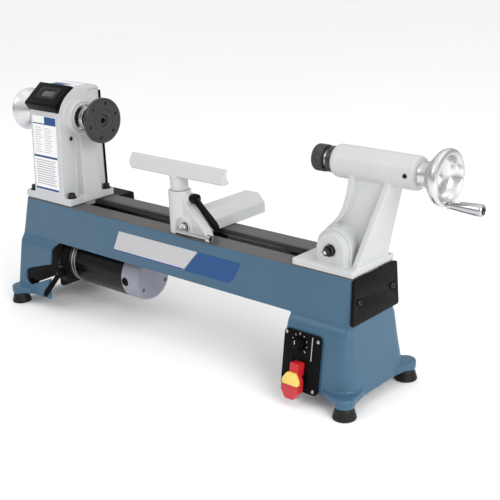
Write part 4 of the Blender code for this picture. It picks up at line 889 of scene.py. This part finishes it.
def make_spindle():
    profile = [(5, 192), (9, 192), (9.6, 191.4), (9.6, 160), (21.4, 160), (22, 159.4), (22, 152.6),
        (20.8, 150.2), (20, 150), (12.5, 150), (12.5, 11.8), (9.9, 11.8), (9.9, 0.6), (9.4, 0), (5, 0)]
    part("spindle_shaft", profile, (FACEPLATE_X - 194, 0, AXIS_Z), "x", 96, BLACK_TURNED, "spindle",
        "spindle", True)
    profile = [(21, 0.2), (22.1, 0.8), (22.3, 1.4), (22.3, 3.4), (22, 3.8), (22, 4.2), (22.3, 4.6),
        (22.3, 8.6), (21.6, 9.3), (10.2, 9.3), (10.2, 0.2)]
    part("spindle_collar", profile, (FACEPLATE_X - 43.4, 0, AXIS_Z), "x", 96, SPINDLE_STEEL, "spindle",
        ring=True)

    profile = [(9.9, -1), (10.9, 0), (19.6, 0), (19.9, -0.5), (20.7, -0.5), (21, 0), (33.6, 0),
        (33.9, -0.4), (34.5, -0.4), (34.8, 0), (38.8, 0), (39.7, -0.4), (40, -1.2), (40, -7),
        (39.6, -7.8), (38.8, -8), (24.6, -8), (22.8, -8.8), (22, -10.6), (21.4, -20), (20.4, -20.6),
        (20.3, -23.4), (21.2, -24), (20.8, -31.2), (20, -32), (9.9, -32)]
    plate = turned("faceplate_disc", profile, (FACEPLATE_X, 0, AXIS_Z), "x", 128, True)
    holes = []
    for k in range(6):
        angle = math.radians(60 * k + 15)
        where = (FACEPLATE_X, 30 * math.cos(angle), AXIS_Z + 30 * math.sin(angle))
        holes.append(turned("hole", [(0, -12), (2.4, -12), (2.4, -1.4), (3.8, 0.1), (0, 0.1)], where,
            "x", 32))
    grub = (FACEPLATE_X - 16, -24, AXIS_Z)
    cut(plate, *holes, cylinder("grub", 2.6, 10, grub, "y", 24))
    dress(plate, BLACK_TURNED, "spindle", "faceplate")

    profile = [(10.3, 12), (18.4, 12.6), (20.2, 14), (31, 28.6), (32.6, 31), (34.4, 32), (37.4, 32),
        (38.6, 31.4), (39.4, 29.8), (39.5, 28), (38.8, 26), (25.4, 6.8), (23, 4.6), (17.4, 0.6),
        (16.4, 0), (11, 0), (10.3, 0.8)]
    part("spindle_wheel", profile, (-381.5, 0, AXIS_Z), "-x", 128, ALUMINIUM, "spindle",
        "spindle_handwheel", ring=True)

    groove = [(27 + 1.1 * (k % 2), 8.4 - 1.4 * k) for k in range(13)]
    profile = [(12.8, 12), (29, 12), (29.5, 11.5), (29.5, 9)] + groove + [(29.5, -9), (29.5, -11.5),
        (29, -12), (12.8, -12)]
    part("drive_pulley", profile, (BELT_X, 0, AXIS_Z), "x", 96, ALUMINIUM, "spindle", "spindle_pulley",
        ring=True)


def belt_loop(extra):
    """The belt's loop around both pulleys, in (y, z), standing extra off the grooves."""
    top, bottom = 27 + extra, 13.5 + extra
    run = Vector((MOTOR_Y, MOTOR_Z - AXIS_Z))
    heading = math.degrees(math.atan2(run.y, run.x))
    wrap = math.degrees(math.acos((top - bottom) / run.length))
    upper = arc((0, AXIS_Z), top, heading + wrap, heading + 360 - wrap, 48)
    lower = arc((MOTOR_Y, MOTOR_Z), bottom, heading - wrap, heading + wrap, 32)
    return upper + lower


def make_belt():
    mesh = bmesh.new()
    ribs = [(3.6, 8), (3.6, -8)] + [(1.2 + 1.1 * (k % 2), -8 + 16 * k / 12) for k in range(13)]
    rows = []
    for extra, x in ribs:
        rows.append([mesh.verts.new((BELT_X + x, y, z)) for y, z in belt_loop(extra)])
    skin(mesh, rows, True)
    belt = from_bmesh("ribbed_belt", mesh)
    dress(belt, RUBBER, "bed", "drive_belt")
    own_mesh(belt)


# Motor

def make_motor():
    at = (MOTOR_X, MOTOR_Y, MOTOR_Z)
    profile = [(8, 18.9), (MOTOR_R - 0.6, 18.9), (MOTOR_R, 18.3), (MOTOR_R, 12.6), (43.2, 12),
        (43.2, 10.6), (MOTOR_R, 10), (MOTOR_R, 1.2), (42.8, 0), (8, 0)]
    part("motor_bell", profile, at, "x", 96, MOTOR_ALUMINIUM, "motor", "motor_front_bell", ring=True)
    profile = [(40.5, 148.2), (43.6, 148.2), (MOTOR_R, 147.8), (MOTOR_R, 19.6), (43.6, 19.2), (40.5, 19.2)]
    part("motor_shell", profile, at, "x", 96, BLACK_ENAMEL, "motor", "motor_can", ring=True)
    profile = [(0, 186.2), (33, 186.2), (37.6, 185.3), (41, 182.6), (42.8, 178.6), (43.3, 172.5),
        (MOTOR_R, 171.8), (MOTOR_R, 149.2), (43.4, 148.5), (36, 148.5), (36, 172), (6.3, 172),
        (6.3, 180), (0, 180)]
    cap = turned("motor_cap", profile, at, "x", 128)
    brush = (-131.5, MOTOR_Y - 34.5, 83)
    openings = [cylinder("brush_hole", 8.3, 30, (brush[0], MOTOR_Y - 62, brush[2]), "y", 48),
        cylinder("brush_hole_high", 6.5, 14, (-127, MOTOR_Y - 18, 118), "z", 40)]
    for k in range(3):
        angle = math.radians(215 + 120 * k)
        where = (MOTOR_X + 186.9, MOTOR_Y + 31 * math.cos(angle), MOTOR_Z + 31 * math.sin(angle))
        openings.append(cylinder("screw_well", 3.4, 8, where, "-x", 32))
    for k in range(5):
        angle = math.radians(252 + 9 * k)
        y, z = MOTOR_Y + MOTOR_R * math.cos(angle), MOTOR_Z + MOTOR_R * math.sin(angle)
        openings.append(block("vent", (-118, y - 1.2, z - 4), (-108, y + 1.2, z + 4)))
    cut(cap, *openings)
    bevel(cap, 0.5, 2, 50)
    dress(cap, MOTOR_GREY, "motor", "motor_end_cap")
    for k in range(3):
        angle = math.radians(215 + 120 * k)
        where = (MOTOR_X + 180.4, MOTOR_Y + 31 * math.cos(angle), MOTOR_Z + 31 * math.sin(angle))
        part("cap_screw_" + str(k + 1), [(0, 2.4), (1.8, 2.2), (2.9, 1.2), (3, 0), (0, 0)], where, "x",
            32, STEEL, "motor")
    profile = [(0, 9.9), (2.5, 10.5), (6, 10.5), (6.9, 10.1), (7.9, 9), (8, 0), (0, 0)]
    plug = turned("brush_plug", profile, brush, "-y", 60)
    cut(plug, block("slot", (brush[0] - 5.5, brush[1] - 12, 82), (brush[0] + 5.5, brush[1] - 8.3, 84)))
    dress(plug, BLACK_PLASTIC, "motor", "brush_cap")

    ribs = [(13.5 + 1 * (k % 2), 8.6 - 1.433 * k) for k in range(13)]
    profile = [(6.3, 11), (15.6, 11), (16, 10.6), (16, 9.2)] + ribs + [(16, -9.2), (16, -10.6),
        (15.6, -11), (6.3, -11)]
    part("small_pulley", profile, (BELT_X, MOTOR_Y, MOTOR_Z), "x", 64, MOTOR_ALUMINIUM, "rotor",
        "motor_pulley", ring=True)


def flatten(obj, arm, wide, keep):
    """Thin an arm across its own length and its wide direction."""
    normal = (Vector(arm[-1]) - Vector(arm[0])).cross(Vector(wide)).normalized()
    base = Vector(arm[0]) * MM + ORIGIN
    for vertex in obj.data.vertices:
        vertex.co -= normal * (vertex.co - base).dot(normal) * (1 - keep)
    return obj


def ratchet_lever(name, node_name, hub, axis, arm, radii, stud, body, wide=None):
    """A clamp lever: a turned hub with a domed cap and a stud, and a tapered arm blended into it."""
    profile = [(0, 13), (3.2, 13), (4, 12.4), (4, 11), (7.4, 10.6), (8.4, 9.6), (8.5, 8), (8.5, 1.2),
        (7.8, 0), (4, 0), (4, -stud), (0, -stud)]
    lever = turned(name, profile, hub, axis, 48)
    blade = rod(name + "_arm", arm, radii, 20)
    join(lever, flatten(blade, arm, wide, 0.55) if wide else blade)
    cast(lever, 0.55, 3, 0.5)
    dress(lever, BLACK_PLASTIC, body, node_name, angle=50)
    u, v, w = AXES[axis]
    where = Vector(hub) + w * 12.6
    part(name + "_screw", [(0, 0.5), (2.6, 0.5), (2.9, 0.2), (2.9, -1), (0, -1)], where, axis, 32,
        BLACK_OXIDE, body)


def make_tension_lever():
    hub = (-281, -60.5, 76)
    arm = [(-281, -66.5, 76), (-286, -76.5, 62), (-295.5, -87, 43.5), (-300.5, -89.5, 34.5)]
    ratchet_lever("belt_tension_lever", "tension_lever", hub, "-y", arm, (5, 4.8, 5.4, 4.8), 12,
        "tension_lever")


# Banjo and tool rest

def make_banjo():
    floor = BED_TOP + GAP
    rough = floor - 4
    casting = cylinder("banjo_casting", POST_R, POST_TOP - rough - 1, (POST_X, POST_Y, rough + 1), "z", 96)
    front = [(3, rough), (82, rough), (82, floor + 4), (78, floor + 12), (36, 262), (34, 270), (12, 270),
        (3, 240)]
    web = slab("web", front, "xz", -44, -26)
    section = rounded([(5, rough - 2), (62, rough - 2), (62, 224), (48, 239), (19, 239), (5, 224)], 3, 5)
    tail = slab("tail", section, "xz", -40, 126)
    hub = slab("clamp_hub", arched((CLAMP_X, CLAMP_Z), CLAMP_HUB_R, rough), "xz", CLAMP_HUB_Y - 2, -20)
    boss = turned("stud_boss", [(0, 8), (8.2, 8), (9, 7.2), (10, 0), (10, -9), (0, -9)],
        (POST_X + POST_R - 1.5, POST_Y, 266), "x", 48)
    join(casting, web, tail, hub, boss)
    flat = arched((CLAMP_X, CLAMP_Z), CLAMP_HUB_R + 0.5, 195)
    cavity = [(11.8, 190), (56, 190), (56, 223), (46.7, 223), (46.7, 230.5), (24.3, 230.5), (24.3, 223),
        (11.8, 223)]
    cut(casting, block("sole", (-60, -90, 150), (130, 170, floor)), slab("cavity", cavity, "xz", -13,
        119), slab("flat", flat, "xz", -70, CLAMP_HUB_Y), cylinder("stem_bore", 12.7, 60,
        (POST_X, POST_Y, 228), "z", 64), cylinder("shaft_bore", SHAFT_R + 1, 173,
        (CLAMP_X, -60, CLAMP_Z), "y", 48), cylinder("stud_bore", 4.3, 30, (POST_X + 8, POST_Y, 266), "x",
        32))
    cast(casting, 0.9, 3, 0.4)
    dress(casting, ENAMEL, "banjo", "banjo", angle=50)

    profile = [(0, 160), (5.9, 160), (SHAFT_R, 159.4), (SHAFT_R, 1.2), (5.6, 0), (2, 0), (0, 0.8)]
    part("clamp_shaft", profile, (CLAMP_X, -52, CLAMP_Z), "y", 64, STEEL, "banjo_handle", "banjo_clamp_shaft")
    bar_y, bar_z = -55.6, CLAMP_Z - 5.5
    left = CLAMP_X - 9.5
    profile = [(0, 0), (2.4, 0), (3.2, 0.8), (3.2, 67.5), (3.9, 69), (4.6, 69.6), (6, 70.6), (6.2, 71.2),
        (6.2, 77.4), (5.6, 78.2), (3.6, 78.2), (3.2, 77.6), (3.2, 75.6), (0, 75.6)]
    part("clamp_handle", profile, (left, bar_y, bar_z), "x", 64, CHROME, "banjo_handle", "banjo_clamp_handle")
    part("clamp_handle_plug", [(0, 1.2), (2.4, 1.1), (2.9, 0.6), (2.9, 0), (0, 0)],
        (left + 75.8, bar_y, bar_z), "x", 40, BLACK_OXIDE, "banjo_handle")

    profile = [(0, 68), (7.4, 68), (8, 67.4), (8, 47.8), (11.8, 47.8), (12.4, 47.2), (12.4, 1),
        (11.4, 0), (0, 0)]
    part("rest_stem_post", profile, (POST_X, POST_Y, 229), "z", 64, STEEL, "rest_stem", "tool_rest_stem")

    bar_outline = rounded([(-47.5, 303), (-45, 301), (-30.5, 301), (-29, 302.5), (-31.8, 306),
        (-34.4, 311), (-35.2, 315.5), (-34, 320), (-31.6, 324), (-32, 325.2), (-34.2, 325.2),
        (-36.8, 322)], 0.6, 3)
    rest = slab("tool_rest_bar", bar_outline, "yz", -91.5, 124.5)
    corner = slab("corner", [(-110, 285), (-66, 285), (-110, 330)], "xz", -70, 0)
    cut(rest, corner)
    neck = turned("neck", [(0, 0), (14.4, 0), (15, 0.6), (15, 21), (15.6, 23), (17, 24.6), (17, 28),
        (0, 28)], (POST_X, POST_Y, POST_TOP + GAP), "z", 64)
    cut(neck, block("trim", (-20, -60, 303), (60, 10, 320)))
    join(rest, neck)
    cut(rest, cylinder("spigot_bore", 8.3, 30, (POST_X, POST_Y, POST_TOP - 8), "z", 48))
    cast(rest, 0.8, 2, 0.45)
    dress(rest, ENAMEL, "tool_rest", "tool_rest", angle=50)

    arm = [(53, -33, 264), (59.5, -28.5, 252), (75.5, -20, 226), (81, -17, 215.5)]
    ratchet_lever("rest_clamp_lever", "rest_lock_lever", (46.5, POST_Y, 266), "x", arm,
        (6.2, 5.4, 6.4, 5.4), 17, "rest_lock_lever", (0.50, 0.69, 0.52))


# Tailstock

LEFT_RIB = [(290.5, 213), (290.5, 226), (292.5, 238), (297.5, 250), (306, 261), (316.5, 271), (327, 283),
    (335, 297), (341, 315), (345.5, 335), (348, 350)]


def left_rib(offset):
    """The curved front edge of the tailstock column, in (x, z), moved right by offset."""
    smooth = flowing([(x, z, 0) for x, z in LEFT_RIB], 4)
    return [(p.x + offset, p.y) for p in smooth]


def make_tailstock():
    floor = BED_TOP + GAP
    casting = block("tailstock", (266.5, -BED_HALF_WIDTH, floor), (BED_HALF_LENGTH, BED_HALF_WIDTH, floor
        + 10.5))
    tenon = block("tenon", (270, -SLOT_HALF_WIDTH + 0.5, 194), (373, SLOT_HALF_WIDTH - 0.5, 212))
    web = slab("web", left_rib(3) + [(408, 350), (366, 213)], "xz", -15, 15)
    rib = slab("rib", left_rib(0) + left_rib(9)[::-1], "xz", -21, 21)
    plate = loft("plate", [rectangle(363, 374.5, -40, 40, 213, 3),
                           rectangle(406.4, 418.4, -18, 18, 350, 3)])
    hubs = [slab("hub", arched((TAIL_CLAMP_X, TAIL_CLAMP_Z), radius, 213, 48), "xz", -half, half)
        for radius, half in ((25, 45), (31, 36))]
    profile = [(0, 143), (17.6, 143), (20, 141.4), (21.6, 141.2), (23, 140.2), (24.2, 138),
        (BARREL_R, 135), (BARREL_R, 8), (23.9, 4.6), (22.4, 2.2), (20.4, 0.7), (17.6, 0), (0, 0)]
    barrel = turned("barrel", profile, (312.5, 0, AXIS_Z), "x", 96)
    lock_boss = cylinder("lock_boss", 9, 14, (335, 20, AXIS_Z), "y", 48)
    join(casting, tenon, web, rib, plate, *hubs, barrel, lock_boss)
    cut(casting, cylinder("quill_bore", 16.3, 130.5, (300, 0, AXIS_Z), "x", 64),
        cylinder("screw_bore", 8.3, 80, (400, 0, AXIS_Z), "x", 48), cylinder("shaft_bore", 8.9, 14,
        (TAIL_CLAMP_X, -54, TAIL_CLAMP_Z), "y", 48), cylinder("shaft_bore", SHAFT_R + 1, 120,
        (TAIL_CLAMP_X, -60, TAIL_CLAMP_Z), "y", 48), block("bolt_way", (TAIL_CLAMP_X - 14, -11, 180),
        (TAIL_CLAMP_X + 14, 11, 253)), cylinder("lock_bore", 4.4, 30, (335, 10, AXIS_Z), "y", 32),
        cylinder("set_screw_bore", 3.3, 14, (442, -30, AXIS_Z), "y", 32), cylinder("pin_hole", 2.2, 8,
        (274, -44, floor + 5), "z", 24))
    cast(casting, 1, 3, 0.35)
    dress(casting, ENAMEL, "tailstock", "tailstock_casting", angle=50)

    screw = turned("barrel_grub_screw", [(0, 8), (2.2, 8), (2.9, 7.4), (3, 7), (3, 0), (0, 0)],
        (442, -17, AXIS_Z), "-y", 32)
    cut(screw, cylinder("hex", 1.6, 6, (442, -22.5, AXIS_Z), "-y", 6))
    dress(screw, BLACK_OXIDE, "tailstock", "barrel_set_screw")

    profile = [(0, 105.6), (5.9, 106), (SHAFT_R, 105.4), (SHAFT_R, 6), (8.3, 5.7), (8.5, 5.2),
        (8.5, 1.4), (7.9, 0.5), (7.2, 0), (5.2, 0), (4.9, 0.5), (4.2, 0.5), (3.9, 0), (2.6, 0),
        (2.2, 0.9), (0, 0.9)]
    part("tail_clamp_shaft", profile, (TAIL_CLAMP_X, -51, TAIL_CLAMP_Z), "y", 72, BLACK_OXIDE,
        "tailstock_clamp", "tailstock_clamp_shaft")
    nut = cylinder("tail_clamp_nut", 6.4, 5, (TAIL_CLAMP_X, -51.3, TAIL_CLAMP_Z), "-y", 6)
    bevel(nut, 0.5, 3)
    dress(nut, BLACK_OXIDE, "tailstock_clamp")
    part("tail_clamp_stud", [(0, 2.2), (2.4, 2.2), (3, 1.6), (3, 0.4), (0, 0.4)],
        (TAIL_CLAMP_X, -56.3, TAIL_CLAMP_Z), "-y", 40, STEEL, "tailstock_clamp")
    lever = turned("tail_clamp_lever", [(7, 12), (10.2, 12), (11, 11.2), (11, 0.8), (10.2, 0), (7, 0)],
        (TAIL_CLAMP_X, 45.5, TAIL_CLAMP_Z), "y", 64, True)
    arm = rod("arm", [(334.5, 52, 247), (337.5, 56, 256), (342.5, 61, 273), (349, 63, 296)],
        (4, 4, 4.4, 5.6), 24)
    join(lever, arm)
    cast(lever, 0.6, 3, 0.5)
    dress(lever, BLACK_OXIDE, "tailstock_clamp", "tailstock_clamp_lever", angle=50)

    arm = [(335, 41, 358), (334, 45, 349), (332, 49, 330), (331, 50, 322)]
    ratchet_lever("quill_clamp_lever", "quill_lock_lever", (335, 35, AXIS_Z), "y", arm,
        (4.8, 3.8, 4.6, 4), 18, "quill_lock_lever")


def make_quill():
    profile = [(8, 20), (5.6, 27), (5.6, 125), (15, 125), (16, 124), (16, 8.5), (18.9, 8.5), (19.5, 7.9),
        (19.5, 1.1), (18.9, 0.5), (13, 0.5), (13, -10), (8, -10)]
    part("quill_sleeve", profile, (303, 0, AXIS_Z), "x", 96, BLACK_TURNED, "quill", "quill", True)

    part("live_centre_seat", [(13.2, 0), (14.6, 0), (15, 0.4), (15, 6.6), (14.6, 7), (13.2, 7)],
        (296.3, 0, AXIS_Z), "x", 96, SPINDLE_STEEL, "quill", ring=True)

    profile = [(13.4, 17.4), (16, 17.4), (18.8, 17.4), (19.7, 16.9), (20, 15.9), (20, 1.5), (19.6, 0.5),
        (18.5, 0), (14.6, 0), (14.2, 0.6), (9.6, 0.6), (9, 1.2), (9, 10), (13.4, 10)]
    cap = turned("live_centre_cap", profile, (278.5, 0, AXIS_Z), "x", 240, True)
    knurl(cap, (278.5, 0, AXIS_Z), "x", 19.95, 60, 0.45)
    dress(cap, BLACK_TURNED, "live_centre", "live_centre", angle=25)

    profile = [(0, 142), (4.4, 142), (5, 141.4), (5, 121), (7.9, 121), (7.9, 97.5)]
    profile += [(5 - 0.7 * (k % 2), 97 - 1.25 * k) for k in range(77)] + [(4, 0), (0, 0)]
    part("lead_screw", profile, (334, 0, AXIS_Z), "x", 40, SPINDLE_STEEL, "tailstock_wheel",
        "tailstock_lead_screw")
    profile = [(0, 23), (5.4, 23), (5.6, 23.6), (13, 23.4), (14.6, 23.6), (24.4, 27.6), (26, 28.8),
        (29, 36), (31, 41.6), (32.4, 43), (36.4, 43), (38.8, 41.6), (40, 38.6), (40, 37.2), (39.4, 34),
        (38, 30.6), (28, 20.6), (24, 18.2), (19.6, 15.2), (18.6, 13.6), (17.9, 1.2), (16.9, 0), (5.3, 0),
        (5.3, 20.7), (0, 20.7)]
    wheel = turned("tail_wheel", profile, (455.8, 0, AXIS_Z), "x", 160)
    crank = Vector((0, -4, AXIS_Z - 35))
    cut(wheel, cylinder("pin_bore", 2.8, 30, (487, crank.y, crank.z), "x", 32))
    dress(wheel, ALUMINIUM, "tailstock_wheel", "tailstock_handwheel")
    part("crank_spindle", [(0, 0), (2.5, 0), (2.5, 51.4), (2, 52), (0, 52)], (488, crank.y, crank.z),
        "x", 40, STEEL, "tailstock_wheel", "crank_pin")
    profile = [(0, 50), (4.8, 50), (5.2, 50.4), (5.4, 52), (5.8, 52.3), (6.6, 52.2), (7.8, 51.2),
        (8.5, 49.6), (8.6, 48.5), (8.3, 38), (7.2, 22), (5.9, 8), (5.6, 6), (5.7, 4.6), (6.2, 3.6),
        (6.2, 0.6), (5.7, 0), (2.9, 0), (2.9, 43), (0, 43)]
    part("crank_grip", profile, (499.2, crank.y, crank.z), "x", 96, CHROME, "crank_handle", "crank_handle")
    part("crank_grip_plug", [(0, 0.9), (3.9, 0.8), (4.5, 0.4), (4.5, 0), (0, 0)], (499.2 + 50.2, crank.y,
        crank.z), "x", 48, BLACK_PLASTIC, "crank_handle")


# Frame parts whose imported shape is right: they only get a finish and softened edges

CARRIED_OVER = {
    "belt_door": (BLACK_PLASTIC, 0.9), "controller_box": (BLACK_PLASTIC, 1.6),
    "motor_bracket": (BLACK_ENAMEL, 0.7), "motor_pivot_rod": (STEEL, 0.3), "door_hinge_pin": (STEEL, 0.3),
    "banjo_clamp_plate": (BLACK_OXIDE, 0.6), "banjo_clamp_bolt": (STEEL, 0.3),
    "tailstock_clamp_plate": (BLACK_OXIDE, 0.6), "tailstock_clamp_bolt": (STEEL, 0.3),
    "motor_rotor": (SPINDLE_STEEL, 0.3),
}


def dress_carried_over():
    for name, (look, edge) in CARRIED_OVER.items():
        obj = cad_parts[name]
        obj.data.materials.clear()
        obj.data.materials.append(look)
        obj.modifiers.new("shared_corners", "WELD").merge_threshold = 0.005 * MM
        round_edges(obj, edge, 3, 40)


# Studio

SKY_LOW, SKY_HIGH = 0.36, 1.18
LAMPS = [  # name, place and size in metres, power in watts
    ("key", (-1.1, -1.9, 2.1), 1.2, 11),
    ("fill", (2.3, -0.7, 1.3), 1.4, 40),
    ("top", (0.2, 0.4, 2.8), 1.8, 2.5),
]


def make_studio():
    """A pale floor under a soft sky that is darker near the horizon, and three soft lamps."""
    scene = bpy.context.scene
    scene.view_settings.view_transform = "Standard"
    world = bpy.data.worlds.new("studio")
    world.use_nodes = True
    tree = world.node_tree
    up = node(tree, "SeparateXYZ", {0: node(tree, "TexCoord").outputs["Generated"]}).outputs["Z"]
    sky = node(tree, "MapRange", {"Value": up, "From Min": 0, "From Max": 0.9, "To Min": SKY_LOW,
        "To Max": SKY_HIGH}).outputs["Result"]
    feed(tree, tree.nodes["Background"], {"Strength": sky, "Color": (1, 1, 1, 1)})
    scene.world = world

    mesh = bmesh.new()
    bmesh.ops.create_grid(mesh, x_segments=8, y_segments=8, size=30000)
    floor = from_bmesh("studio_floor", mesh)
    floor.data.transform(Matrix.Translation((0, 0, -0.0002)))
    floor.data.materials.append(finish("studio_floor", (0.95, 0.95, 0.95), 0.7, mottle=0.01,
        mottle_size=900, grain=(4, 0.01), ripple=(60, 0.02), shine=0.1))

    target = Vector((0, 0, 0.22))
    for name, place, size, power in LAMPS:
        light = bpy.data.lights.new(name, "AREA")
        light.shape = "SQUARE"
        light.size = size
        light.energy = power
        lamp = bpy.data.objects.new(name, light)
        lamp.location = place
        lamp.rotation_mode = "QUATERNION"
        lamp.rotation_quaternion = (target - Vector(place)).to_track_quat("-Z", "Y")
        scene.collection.objects.link(lamp)


def make_camera():
    """The camera stands to the operator's right, a little above the spindle, and is slightly rolled."""
    place = Vector((1.1619, -1.1417, 0.7181)) + ORIGIN
    yaw, pitch, roll = (math.radians(a) for a in (41.9357, 19.1078, -2.1351))
    forward = Vector((-math.sin(yaw) * math.cos(pitch), math.cos(yaw) * math.cos(pitch), -math.sin(pitch)))
    level = Vector((math.cos(yaw), math.sin(yaw), 0))
    upright = level.cross(forward)
    right = level * math.cos(roll) + upright * math.sin(roll)
    up = upright * math.cos(roll) - level * math.sin(roll)
    data = bpy.data.cameras.new("camera")
    data.sensor_width = 36
    data.lens = 72.63288
    camera = bpy.data.objects.new("camera", data)
    turn = Matrix((right, up, -forward)).transposed()
    camera.matrix_world = Matrix.Translation(place) @ turn.to_4x4()
    bpy.context.scene.collection.objects.link(camera)
    bpy.context.scene.camera = camera


for make in (make_bed, make_bed_fittings, make_switch, make_headstock, make_spindle, make_belt,
        make_motor, make_tension_lever, make_banjo, make_tailstock, make_quill, dress_carried_over,
        make_studio, make_camera):
    make()
